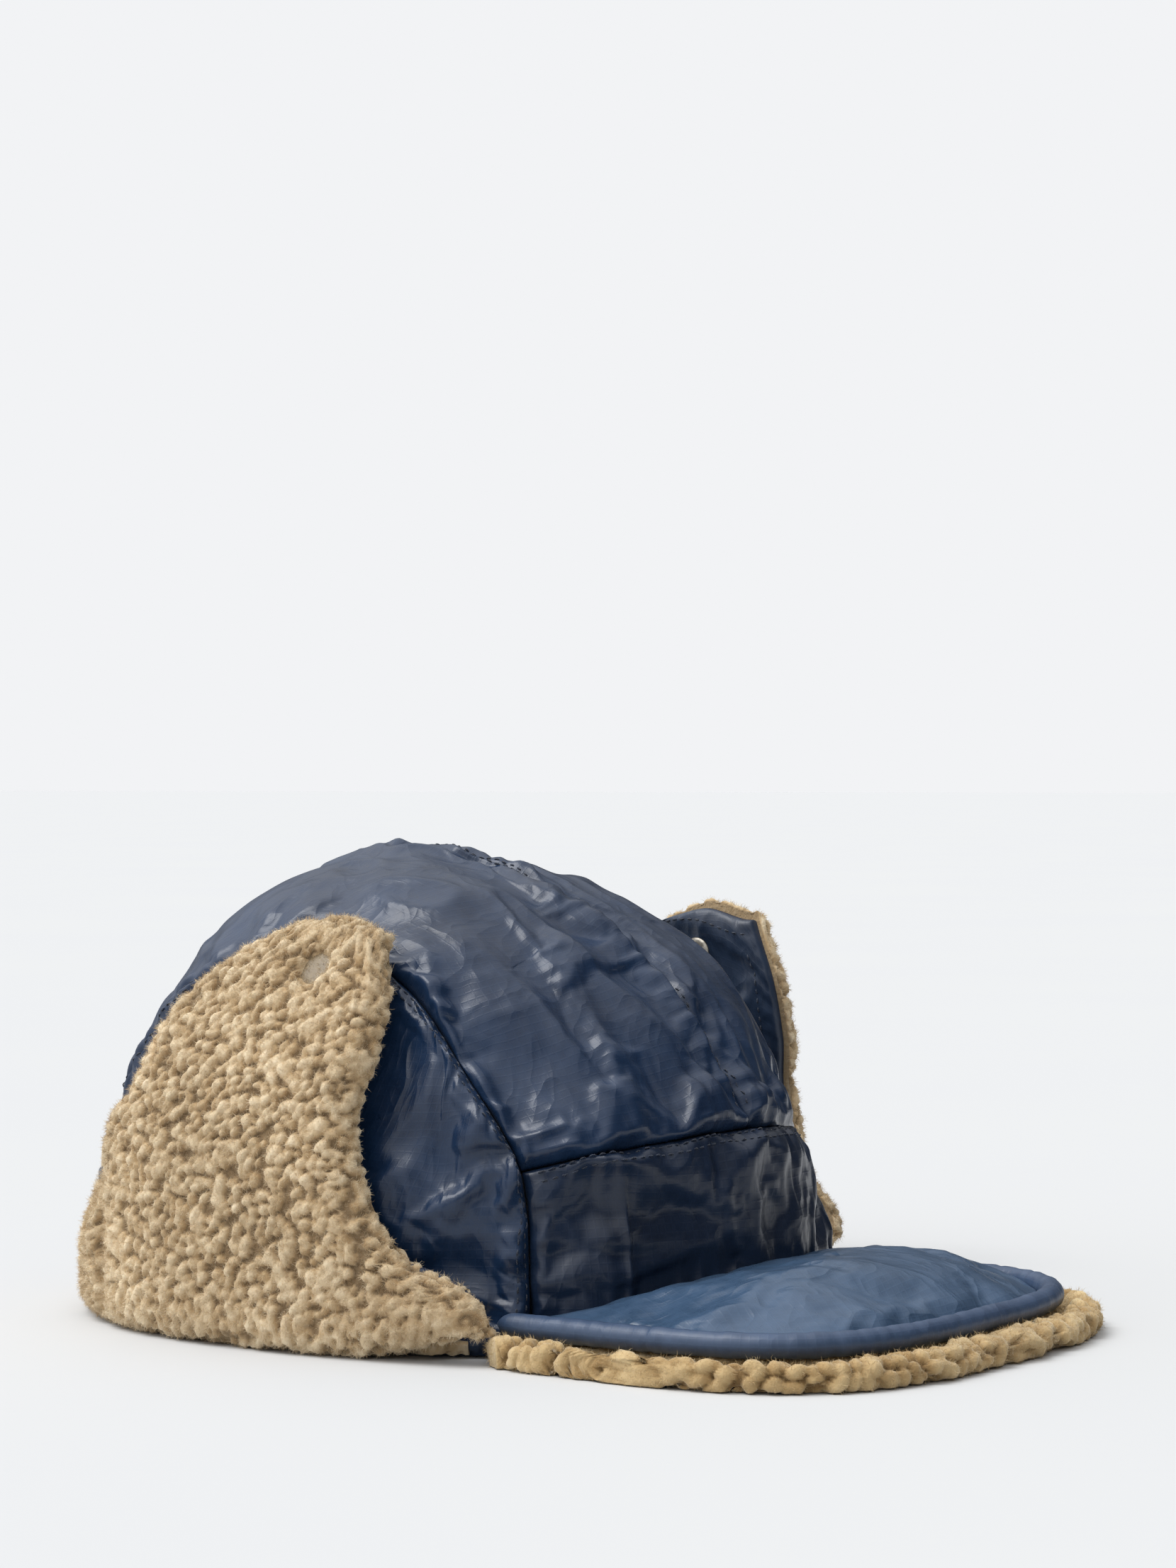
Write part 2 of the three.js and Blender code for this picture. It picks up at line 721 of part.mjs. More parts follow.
// Carries a rigid piece at the snap, such as the snap's cap, to its place on the unrolled flap.
function atUnrolledSnap(geometry) {
  const foot = mirrored(rightPoint(SNAP.y, SNAP.z));
  const place = unrolled(foot);
  const { tilt } = onSideTrace(foot.x, foot.z);
  geometry.translate(-foot.x, -foot.y, -foot.z).rotateY(tilt);
  return geometry.translate(place.x, place.y, place.z);
}

// The left flap stands off the crown, turned outward about its hinge.
function leaningLeft(meshes) {
  const pivot = new THREE.Group();
  pivot.position.set(HINGE_X, 0, HINGE_Z);
  pivot.rotation.y = THREE.MathUtils.degToRad(LEFT_FLAP_LEAN);
  const back = new THREE.Group();
  back.position.set(-HINGE_X, 0, -HINGE_Z);
  back.add(...meshes);
  pivot.add(back);
  return pivot;
}

function bothSides(pieces, side) {
  return pieces.map(([name, geometry, finish]) => {
    const placed = side === 'right' ? geometry.clone() : mirrorGeometry(geometry);
    return named(`${name}_${side}`, placed, finish);
  });
}

function onSide(pieces, side) {
  return pieces.map(([name, geometry, finish]) => named(`${name}_${side}`, geometry, finish));
}

function neckPieces() {
  return [
    named('neck_flap_shell', crownSheet(neckFlapPatch, LAYER.flapShell), 'nylon'),
    named('neck_flap_wadding', crownSheet(neckFlapPatch, LAYER.flapWadding), 'wadding'),
    named('neck_flap_fleece', crownSheet(neckFlapPatch, LAYER.flapFleece), 'fleece'),
  ];
}

function visorPieces() {
  const path = pipingPath();
  return [
    named('visor_fleece', visorSheet('fleece', 0), 'fleece'),
    named('visor_board', visorSheet('board', VISOR_INSET.inner), 'board'),
    named('visor_padding', visorSheet('padding', VISOR_INSET.inner), 'wadding'),
    named('visor_cover', visorSheet('cover', VISOR_INSET.inner), 'nylon'),
    named('piping_cover', pipingCover(path), 'nylon'),
    named('piping_cord', pipingCord(path), 'wadding'),
  ];
}

function label() {
  const tag = new THREE.BoxGeometry(LABEL.width, LABEL.thickness, LABEL.height);
  const inside = CROWN.back + LAYER.lining[0];
  tag.translate(0, inside - 2, LABEL.bottom + LABEL.height / 2);
  return named('size_label', tag, 'label');
}

function crownCentrePieces() {
  return [
    named('forehead_band', crownSheet(bandPatch, LAYER.panel), 'nylon'),
    named('forehead_wadding', crownSheet(bandPatch, LAYER.wadding), 'wadding'),
    named('lining_centre', crownSheet(liningCentrePatch, LAYER.lining), 'fleece'),
    label(),
  ];
}

const hat = new THREE.Group();
hat.name = 'trapper_hat';
const sides = sidePieces();
const rightFlap = earFlapPieces((layer) => crownSheet(earFlapPatch, layer), (piece) => piece);
const leftFlap = earFlapPieces(
  (layer) => unrolledSheet(mirrorGeometry(crownSheet(earFlapPatch, layer))),
  (piece) => atUnrolledSnap(mirrorGeometry(piece)),
);
hat.add(...crownCentrePieces());
hat.add(...bothSides(sides, 'right'), ...bothSides(sides, 'left'));
hat.add(...onSide(rightFlap, 'right'), leaningLeft(onSide(leftFlap, 'left')));
hat.add(...neckPieces(), ...visorPieces());

export default hat;
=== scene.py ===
"""A padded nylon trapper hat with a sherpa lining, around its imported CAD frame. Lengths are in metres, +Z up.
The visor points along -Y and the wearer's right is -X. The origin is the centre of the head opening."""

import math

import bpy
import numpy as np
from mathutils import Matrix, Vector


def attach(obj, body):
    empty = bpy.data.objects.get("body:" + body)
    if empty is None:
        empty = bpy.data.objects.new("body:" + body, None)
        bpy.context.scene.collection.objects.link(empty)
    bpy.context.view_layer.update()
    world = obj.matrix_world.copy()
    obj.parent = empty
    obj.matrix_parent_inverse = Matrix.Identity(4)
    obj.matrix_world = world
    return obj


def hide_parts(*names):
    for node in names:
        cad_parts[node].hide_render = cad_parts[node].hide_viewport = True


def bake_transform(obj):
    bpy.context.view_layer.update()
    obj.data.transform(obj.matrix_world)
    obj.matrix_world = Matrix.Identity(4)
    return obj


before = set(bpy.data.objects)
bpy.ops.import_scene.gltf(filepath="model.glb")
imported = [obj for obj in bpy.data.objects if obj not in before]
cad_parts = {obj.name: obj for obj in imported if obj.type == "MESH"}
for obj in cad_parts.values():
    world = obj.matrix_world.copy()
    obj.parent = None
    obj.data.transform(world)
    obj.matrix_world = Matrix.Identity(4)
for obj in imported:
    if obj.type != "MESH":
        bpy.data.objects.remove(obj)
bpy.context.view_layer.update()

MM = 0.001

# ---- Driving dimensions, as in the CAD model ----
CROWN_HALF_WIDTH, CROWN_FRONT, CROWN_BACK = 96 * MM, 114 * MM, 103 * MM
CROWN_HEIGHT, SHOULDER, APEX_BACK = 144 * MM, 40 * MM, 8 * MM
OVAL_POWER = 2.35
FRONT_POWERS = (1.75, 0.68)
SIDE_POWERS = (2.2, 0.455)
HEART = np.array([0, 0, 30 * MM])
SIDE_SEAM = MM * np.array(
    [
        [-81, 0], [-81, 20], [-78, 53], [-60, 80], [-34, 105],
        [5, 118], [49, 103], [66, 90], [85, 50], [93, 0],
    ]
)
SEAM_AT_FOREHEAD, SEAM_AT_NAPE = 2 / 9, 8 / 9
FOREHEAD_SEAM_HEIGHT = 62 * MM
FLAP_BOTTOM, FLAP_FRONT_Y, SPLIT_Y = 5 * MM, -66 * MM, 58 * MM
NECK_BOTTOM, NECK_SIDE_HEIGHT, NECK_BACK_HEIGHT = 0.5 * MM, 60 * MM, 48 * MM
FLAP_FRONT = MM * np.array(
    [[-66, 5], [-62, 17], [-45, 34], [-35, 51], [-31, 66], [-33, 82], [-32, 96], [-24, 112]]
)
FLAP_TOP = MM * np.array([[-24, 112], [-11, 115], [2, 113]])
FLAP_BACK = MM * np.array([[58, 60], [46, 72], [38, 88], [23, 103], [2, 113]])
SPLIT_SHARE = 0.4
SHELL_IN = 3.2 * MM
HINGE_X, HINGE_Z = CROWN_HALF_WIDTH + SHELL_IN, -0.5 * MM
LEFT_LEAN = math.radians(8)
SNAP_Y, SNAP_Z = -13 * MM, 103 * MM
VISOR_HALF_WIDTH, VISOR_TIP = 94 * MM, 197 * MM
VISOR_SIDE_BACK, VISOR_SIDE_FRONT = 86 * MM, 118 * MM
VISOR_POWER = 3.0


# ---- Numbers, curves and noise ----
def mix(low, high, share):
    return low + (high - low) * share


def smooth(value):
    t = np.clip(value, 0, 1)
    return t * t * (3 - 2 * t)


def unit(vectors):
    return vectors / np.maximum(np.linalg.norm(vectors, axis=-1, keepdims=True), 1e-12)


def dot(a, b):
    return (a * b).sum(-1)


def flip_x(points):
    return points * np.array([-1, 1, 1])


def past(values, start, width):
    """0 up to start, 1 past start + width, and smooth between. A negative width falls the other way."""
    return smooth((values - start) / width)


def run_along(path):
    """How far each point of a path is along it."""
    return np.concatenate([[0], np.cumsum(np.linalg.norm(np.diff(path, axis=0), axis=-1))])


def ring_angles(sides):
    return np.linspace(0, math.tau, sides, endpoint=False)


def catmull(points, share):
    """A centripetal Catmull-Rom curve through points, at each share from 0 to 1 of its knots."""
    points = np.asarray(points, float)
    share = np.asarray(share, float)
    ends = [2 * points[0] - points[1]], [2 * points[-1] - points[-2]]
    padded = np.concatenate([ends[0], points, ends[1]])
    place = np.clip(share, 0, 1) * (len(points) - 1)
    first = np.minimum(place.astype(int), len(points) - 2)
    t = (place - first)[..., None]
    p = [padded[first + k] for k in range(4)]
    gaps = [np.maximum(np.linalg.norm(p[k + 1] - p[k], axis=-1), 1e-9) ** 0.5 for k in range(3)]
    d0, d1, d2 = (g[..., None] for g in gaps)
    t1 = ((p[1] - p[0]) / d0 - (p[2] - p[0]) / (d0 + d1) + (p[2] - p[1]) / d1) * d1
    t2 = ((p[2] - p[1]) / d1 - (p[3] - p[1]) / (d1 + d2) + (p[3] - p[2]) / d2) * d1
    c2 = -3 * p[1] + 3 * p[2] - 2 * t1 - t2
    c3 = 2 * p[1] - 2 * p[2] + t1 + t2
    return p[1] + t1 * t + c2 * t**2 + c3 * t**3


def hashed(cells, seed):
    """A repeatable random number from 0 to 1 for each integer cell."""
    n = cells[..., 0] * 73856093 ^ cells[..., 1] * 19349663 ^ cells[..., 2] * 83492791
    n = (n ^ (seed * 2654435761)) & 0xFFFFFFFF
    n = ((n ^ (n >> 15)) * 2246822519) & 0xFFFFFFFF
    n = ((n ^ (n >> 13)) * 3266489917) & 0xFFFFFFFF
    return ((n ^ (n >> 16)) & 0xFFFFFF) / float(0xFFFFFF)


def value_noise(points, size, seed):
    """Smooth noise from -1 to 1 whose features are about size across."""
    p = np.asarray(points) / size
    cell = np.floor(p).astype(np.int64)
    f = smooth(p - cell)
    total = 0
    for dx in (0, 1):
        for dy in (0, 1):
            for dz in (0, 1):
                corner = hashed(cell + np.array([dx, dy, dz]), seed)
                wx = f[..., 0] if dx else 1 - f[..., 0]
                wy = f[..., 1] if dy else 1 - f[..., 1]
                wz = f[..., 2] if dz else 1 - f[..., 2]
                total = total + corner * wx * wy * wz
    return total * 2 - 1


def noise_vector(points, size, seed):
    return np.stack([value_noise(points, size, seed + k) for k in range(3)], -1)


def tufts(points, size, seed):
    """Rounded curls about size across, each lying its own way: 1 on a curl's crown and 0 between curls, and
    the random mark of the curl at each point."""
    p = np.asarray(points) / size
    cell = np.floor(p).astype(np.int64)
    best = np.zeros(p.shape[:-1])
    mark = np.zeros(p.shape[:-1])
    for dx in (-1, 0, 1):
        for dy in (-1, 0, 1):
            for dz in (-1, 0, 1):
                c = cell + np.array([dx, dy, dz])
                spot = c + 0.5 + 0.45 * np.stack([hashed(c, seed + k) * 2 - 1 for k in range(3)], -1)
                axis = unit(np.stack([hashed(c, seed + 11 + k) * 2 - 1 for k in range(3)], -1))
                offset = p - spot
                along = dot(offset, axis)
                own = hashed(c, seed + 7)
                d2 = (dot(offset, offset) - 0.4 * along**2) / (0.54 + 0.18 * own) ** 2
                dome = np.sqrt(np.clip(1 - d2, 0, 1)) * (0.78 + 0.22 * own)
                mark = np.where(dome > best, own, mark)
                best = np.maximum(best, dome)
    return best, mark


# ---- The crown's outer surface ----
def oval_at(z):
    rise = np.clip((z - SHOULDER) / (CROWN_HEIGHT - SHOULDER), 0, 1)
    side = (1 - rise ** SIDE_POWERS[0]) ** SIDE_POWERS[1]
    front = (1 - rise ** FRONT_POWERS[0]) ** FRONT_POWERS[1]
    return CROWN_HALF_WIDTH * side, CROWN_FRONT * front, CROWN_BACK * side, APEX_BACK * rise**2


def inside_dome(p):
    half, front, back, centre = oval_at(p[..., 2])
    y = p[..., 1] - centre
    reach = np.where(y < 0, front, back)
    tiny = 1e-9
    across = np.abs(p[..., 0] / np.maximum(half, tiny)) ** OVAL_POWER
    along = np.abs(y / np.maximum(reach, tiny)) ** OVAL_POWER
    return (p[..., 2] < CROWN_HEIGHT) & (across + along < 1)


def to_dome(points):
    ray = np.asarray(points, float) - HEART
    low = np.full(ray.shape[:-1], 0.1)
    high = np.full(ray.shape[:-1], 4.0)
    for _ in range(32):
        middle = (low + high) / 2
        within = inside_dome(HEART + ray * middle[..., None])
        low = np.where(within, middle, low)
        high = np.where(within, high, middle)
    return HEART + ray * low[..., None]


def dome_normal(p):
    ray = unit(p - HEART)
    helper = np.where(np.abs(ray[..., 2:]) < 0.9, np.array([0, 0, 1.0]), np.array([0, 1.0, 0]))
    across = unit(np.cross(helper, ray))
    along = np.cross(ray, across)
    step = 0.8 * MM
    slopes = [to_dome(p + d * step) - to_dome(p - d * step) for d in (across, along)]
    return unit(np.cross(slopes[0], slopes[1]))


def right_point(y, z):
    half, front, back, centre = oval_at(z)
    reach = np.where(y < centre, front, back)
    share = np.clip(1 - np.abs((y - centre) / reach) ** OVAL_POWER, 0, 1)
    return np.stack(np.broadcast_arrays(-half * share ** (1 / OVAL_POWER), y, z), -1)


def around_point(degrees, z):
    """The point at height z in the plan direction of an angle, where 0 is the front and 90 the right."""
    angle = np.radians(degrees)
    half, front, back, centre = oval_at(np.asarray(z, float))
    x, y = -np.sin(angle), -np.cos(angle)
    reach = np.where(y < 0, front, back)
    size = (np.abs(x / half) ** OVAL_POWER + np.abs(y / reach) ** OVAL_POWER) ** (-1 / OVAL_POWER)
    return np.stack(np.broadcast_arrays(x * size, y * size + centre, z), -1)


def angle_of(p):
    return float(np.degrees(np.arctan2(-p[..., 0], -p[..., 1])))


# ---- Patches: four edge curves, and the grid between them ----
def coons(edges, u, v):
    u, v = np.broadcast_arrays(u, v)
    a, b = u[..., None], v[..., None]
    zero, one = np.zeros(1), np.ones(1)
    corner = {(i, j): edges["top" if j else "bottom"](one if i else zero) for i in (0, 1) for j in (0, 1)}
    return (
        edges["bottom"](u) * (1 - b)
        + edges["top"](u) * b
        + edges["left"](v) * (1 - a)
        + edges["right"](v) * a
        - corner[0, 0] * (1 - a) * (1 - b)
        - corner[1, 0] * a * (1 - b)
        - corner[0, 1] * (1 - a) * b
        - corner[1, 1] * a * b
    )


def seam_point(share):
    p = catmull(SIDE_SEAM, share)
    return right_point(p[..., 0], p[..., 1])


def on_side(points):
    return lambda share: right_point(*np.moveaxis(catmull(points, share), -1, 0))


FOREHEAD_CORNER = seam_point(np.array(SEAM_AT_FOREHEAD))
FOREHEAD_CENTRE = around_point(0, FOREHEAD_SEAM_HEIGHT)
FOREHEAD_KNOTS = np.array([FOREHEAD_CORNER, FOREHEAD_CENTRE, flip_x(FOREHEAD_CORNER)])
FRONT_ANGLE = angle_of(right_point(*SIDE_SEAM[0]))
BACK_ANGLE = angle_of(right_point(*SIDE_SEAM[-1]))


def hem(start, end, z=0.0):
    return lambda share: around_point(mix(start, end, share), z)


def forehead_seam(share):
    return to_dome(catmull(FOREHEAD_KNOTS, share))


TOP_KNOT = 14 / 18


def top_seam(share):
    arch = mix(SEAM_AT_FOREHEAD, SEAM_AT_NAPE, share / TOP_KNOT)
    edge = mix(SEAM_AT_NAPE, 1, (share - TOP_KNOT) / (1 - TOP_KNOT))
    return seam_point(np.where(share < TOP_KNOT, arch, edge))


def centre_seam(share):
    start = math.atan2(FOREHEAD_CENTRE[2] - HEART[2], -FOREHEAD_CENTRE[1])
    end = math.pi + math.atan2(HEART[2], CROWN_BACK)
    angle = mix(start, end, np.asarray(share))
    ahead = np.stack([0 * angle, -np.cos(angle), np.sin(angle)], -1)
    return to_dome(HEART + ahead * CROWN_FRONT)


PATCHES = {
    "side": {
        "bottom": hem(FRONT_ANGLE, BACK_ANGLE),
        "top": lambda u: seam_point(mix(SEAM_AT_FOREHEAD, SEAM_AT_NAPE, u)),
        "left": lambda v: seam_point(mix(0, SEAM_AT_FOREHEAD, v)),
        "right": lambda v: seam_point(mix(1, SEAM_AT_NAPE, v)),
    },
    "top": {
        "bottom": lambda u: forehead_seam(u / 2),
        "top": hem(BACK_ANGLE, 180),
        "left": top_seam,
        "right": centre_seam,
    },
    "band": {
        "bottom": hem(FRONT_ANGLE, -FRONT_ANGLE),
        "top": forehead_seam,
        "left": lambda v: seam_point(mix(0, SEAM_AT_FOREHEAD, v)),
        "right": lambda v: flip_x(seam_point(mix(0, SEAM_AT_FOREHEAD, v))),
    },
    "lining": {
        "bottom": hem(FRONT_ANGLE, -FRONT_ANGLE),
        "top": hem(BACK_ANGLE, 360 - BACK_ANGLE),
        "left": seam_point,
        "right": lambda v: flip_x(seam_point(v)),
    },
}


def flap_back_edge(v):
    low = right_point(np.full(np.shape(v), SPLIT_Y), mix(FLAP_BOTTOM, NECK_SIDE_HEIGHT, v / SPLIT_SHARE))
    high = on_side(FLAP_BACK)((v - SPLIT_SHARE) / (1 - SPLIT_SHARE))
    return np.where(np.asarray(v)[..., None] < SPLIT_SHARE, low, high)


PATCHES["ear"] = {
    "bottom": lambda u: right_point(mix(FLAP_FRONT_Y, SPLIT_Y, u), np.full(np.shape(u), FLAP_BOTTOM)),
    "top": on_side(FLAP_TOP),
    "left": on_side(FLAP_FRONT),
    "right": flap_back_edge,
}
SPLIT_ANGLE = angle_of(right_point(SPLIT_Y, 0.0))
SPLIT_TOP_ANGLE = angle_of(right_point(SPLIT_Y, NECK_SIDE_HEIGHT))


def neck_top(u):
    height = mix(NECK_SIDE_HEIGHT, NECK_BACK_HEIGHT, np.sin(math.pi * np.asarray(u)))
    return around_point(mix(SPLIT_TOP_ANGLE, 360 - SPLIT_TOP_ANGLE, u), height)


def neck_side(v):
    return right_point(np.full(np.shape(v), SPLIT_Y), mix(NECK_BOTTOM, NECK_SIDE_HEIGHT, v))


PATCHES["neck"] = {
    "bottom": hem(SPLIT_ANGLE, 360 - SPLIT_ANGLE, NECK_BOTTOM),
    "top": neck_top,
    "left": neck_side,
    "right": lambda v: flip_x(neck_side(v)),
}


def patch_grid(name, cells, u_range=(0, 1), v_range=(0, 1)):
    """Points and normals of the crown's surface over a patch, as (rows, columns, 3)."""
    u, v = np.meshgrid(np.linspace(*u_range, cells[0] + 1), np.linspace(*v_range, cells[1] + 1))
    points = to_dome(coons(PATCHES[name], u, v))
    return points, dome_normal(points)


# ---- Meshes ----
def grid_faces(rows, columns, start=0):
    i = np.arange(rows * columns).reshape(rows, columns) + start
    quads = np.stack([i[:-1, :-1], i[:-1, 1:], i[1:, 1:], i[1:, :-1]], -1)
    return quads.reshape(-1, 4)


def make_mesh(name, vertices, faces, uv=None, values=None):
    """A smooth-shaded object. uv and values are given for each vertex."""
    mesh = bpy.data.meshes.new(name)
    mesh.from_pydata(np.asarray(vertices).reshape(-1, 3).tolist(), [], [list(map(int, f)) for f in faces])
    mesh.polygons.foreach_set("use_smooth", [True] * len(mesh.polygons))
    loops = np.empty(len(mesh.loops), int)
    mesh.loops.foreach_get("vertex_index", loops)
    if uv is not None:
        layer = mesh.uv_layers.new(name="Cloth")
        layer.data.foreach_set("uv", np.asarray(uv).reshape(-1, 2)[loops].ravel())
    for key, data in (values or {}).items():
        attribute = mesh.attributes.new(key, "FLOAT", "POINT")
        attribute.data.foreach_set("value", np.asarray(data, np.float32).ravel())
    mesh.update()
    piece = bpy.data.objects.new(name, mesh)
    bpy.context.scene.collection.objects.link(piece)
    return piece


def grid_normals(points):
    along = np.gradient(points, axis=1)
    up = np.gradient(points, axis=0)
    return unit(np.cross(along, up))


def outward_normals(points, guide):
    """A grid's normals, on the side that the guide points to."""
    normals = grid_normals(points)
    return normals * np.sign(dot(normals, guide))[..., None]


def grid_lengths(points):
    """How far each grid point is from each side of the grid, along its row or column."""
    steps_u = np.linalg.norm(np.diff(points, axis=1), axis=-1)
    steps_v = np.linalg.norm(np.diff(points, axis=0), axis=-1)
    left = np.concatenate([np.zeros((points.shape[0], 1)), np.cumsum(steps_u, 1)], 1)
    bottom = np.concatenate([np.zeros((1, points.shape[1])), np.cumsum(steps_v, 0)], 0)
    return {"left": left, "right": left[:, -1:] - left, "bottom": bottom, "top": bottom[-1:] - bottom}


def edge_distance(points):
    """How far each grid point is from the grid's nearest side."""
    return np.minimum.reduce(list(grid_lengths(points).values()))


def round_faces(rows, columns, flipped=False):
    """The faces of a tube of rings, with one face over each end."""
    i = np.arange(rows * columns).reshape(rows, columns)
    j = np.roll(i, -1, axis=1)
    corners = [i[:-1], j[:-1], j[1:], i[1:]] if flipped else [i[:-1], i[1:], j[1:], j[:-1]]
    ends = [i[0][::-1], i[-1]] if flipped else [i[0], i[-1][::-1]]
    return np.stack(corners, -1).reshape(-1, 4).tolist() + [end.tolist() for end in ends]


def finish(piece, body, material):
    piece.data.materials.clear()
    piece.data.materials.append(material)
    if body:
        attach(piece, body)
    return piece


def add_modifier(piece, kind, **settings):
    modifier = piece.modifiers.new(kind.title(), kind)
    for key, value in settings.items():
        setattr(modifier, key, value)
    return modifier


# ---- Cloth simulation ----
CLOTH_FRAMES = 20
# How far a free point starts off its place, as (size of the unevenness, how far).
JITTER = ((9 * MM, 0.25 * MM), (4 * MM, 0.1 * MM))


def simulate(points, faces, pins, grow, pressure, bending, seed):
    """Lets a sheet that is cut too large by grow swell and crease between its pinned seams."""
    start = np.asarray(points).reshape(-1, 3)
    weights = np.asarray(pins).ravel()
    jitter = sum(noise_vector(start, size, seed) * far for size, far in JITTER)
    piece = make_mesh("cloth_work", start + jitter * (1 - weights)[:, None], faces)
    group = piece.vertex_groups.new(name="pins")
    for index in np.nonzero(weights > 0.01)[0]:
        group.add([int(index)], float(weights[index]), "REPLACE")
    cloth = piece.modifiers.new("Cloth", "CLOTH")
    settings = cloth.settings
    settings.quality = 6
    settings.mass = 0.15
    settings.air_damping = 1.5
    settings.tension_stiffness = 25
    settings.compression_stiffness = 25
    settings.shear_stiffness = 10
    settings.bending_stiffness = bending
    settings.vertex_group_mass = "pins"
    settings.shrink_min = -grow
    settings.use_pressure = True
    settings.uniform_pressure_force = pressure
    settings.effector_weights.gravity = 0
    cloth.collision_settings.use_collision = False
    cloth.point_cache.frame_start = 1
    cloth.point_cache.frame_end = CLOTH_FRAMES
    scene = bpy.context.scene
    for step in range(1, CLOTH_FRAMES + 1):
        scene.frame_set(step)
    graph = bpy.context.evaluated_depsgraph_get()
    swollen = piece.evaluated_get(graph).to_mesh()
    result = np.empty(len(swollen.vertices) * 3)
    swollen.vertices.foreach_get("co", result)
    piece.evaluated_get(graph).to_mesh_clear()
    scene.frame_set(1)
    mesh = piece.data
    bpy.data.objects.remove(piece)
    bpy.data.meshes.remove(mesh)
    return result.reshape(-1, 3)


def capped(result, start, normals, low, high, sideways):
    """Keeps each point within low to high of its start along its normal, and within sideways across it."""
    shift = result - start
    out = dot(shift, normals)[..., None]
    across = shift - out * normals
    length = np.linalg.norm(across, axis=-1, keepdims=True)
    across *= np.minimum(1, sideways / np.maximum(length, 1e-9))
    return start + across + normals * np.clip(out, low, high)


# ---- Materials ----
class Nodes:
    """A short way to wire a material's nodes."""

    def __init__(self, name, roughness=0.6, **inputs):
        self.material = bpy.data.materials.new(name)
        self.material.use_nodes = True
        self.tree = self.material.node_tree
        self.shader = self.tree.nodes["Principled BSDF"]
        self.shader.inputs["Roughness"].default_value = roughness
        for key, value in inputs.items():
            self.shader.inputs[key.replace("_", " ")].default_value = value
        self.where = self.tree.nodes.new("ShaderNodeTexCoord").outputs["Object"]

    def put(self, socket, value):
        if isinstance(value, bpy.types.NodeSocket):
            self.tree.links.new(value, socket)
        else:
            socket.default_value = value

    def node(self, kind, output=0, settings=None, **inputs):
        made = self.tree.nodes.new("ShaderNode" + kind)
        for key, value in (settings or {}).items():
            setattr(made, key, value)
        for key, value in inputs.items():
            self.put(made.inputs[key.replace("_", " ")], value)
        return made.outputs[output]

    def math(self, operation, a, b=0.0):
        made = self.tree.nodes.new("ShaderNodeMath")
        made.operation = operation
        self.put(made.inputs[0], a)
        self.put(made.inputs[1], b)
        return made.outputs[0]

    def noise(self, size, detail=2.0, where=None):
        return self.node("TexNoise", "Fac", Vector=where or self.where, Scale=1 / size, Detail=detail)

    def value(self, name):
        return self.node("Attribute", "Fac", {"attribute_name": name})

    def ramp(self, share, stops):
        made = self.tree.nodes.new("ShaderNodeValToRGB")
        self.put(made.inputs[0], share)
        points = made.color_ramp.elements
        while len(points) < len(stops):
            points.new(0.5)
        for point, (place, colour) in zip(points, stops):
            point.position = place
            point.color = linear(colour)
        return made.outputs[0]

    def blend(self, share, a, b, mode="MIX"):
        made = self.tree.nodes.new("ShaderNodeMix")
        made.data_type = "RGBA"
        made.blend_type = mode
        self.put(made.inputs[0], share)
        self.put(made.inputs[6], a)
        self.put(made.inputs[7], linear(b) if isinstance(b, str) else b)
        return made.outputs[2]

    def bump(self, heights):
        """Stacks bumps, each given as (height, strength, distance in metres)."""
        normal = None
        for height, strength, distance in heights:
            made = self.tree.nodes.new("ShaderNodeBump")
            self.put(made.inputs["Height"], height)
            made.inputs["Strength"].default_value = strength
            made.inputs["Distance"].default_value = distance
            if normal:
                self.put(made.inputs["Normal"], normal)
            normal = made.outputs[0]
        self.put(self.shader.inputs["Normal"], normal)

    def colour(self, value):
        self.put(self.shader.inputs["Base Color"], value)


def linear(code):
    """A linear colour from a hex code such as 2a3b4c."""
    parts = [int(code[k : k + 2], 16) / 255 for k in (0, 2, 4)]
    return tuple(c / 12.92 if c <= 0.04045 else ((c + 0.055) / 1.055) ** 2.4 for c in parts) + (1.0,)


RIPSTOP_PITCH, THREAD_PITCH, FIBRE_SIZE = 2.4 * MM, 0.36 * MM, 0.5 * MM
# Each crinkle in the nylon: its size, its turn about X, and its share and height as bump.
CRINKLES = ((21 * MM, 0.6, 1.0, 1.3 * MM), (9 * MM, -0.5, 0.75, 0.55 * MM))
CRINKLE_WARP_SIZE, CRINKLE_WARP = 30 * MM, 22 * MM


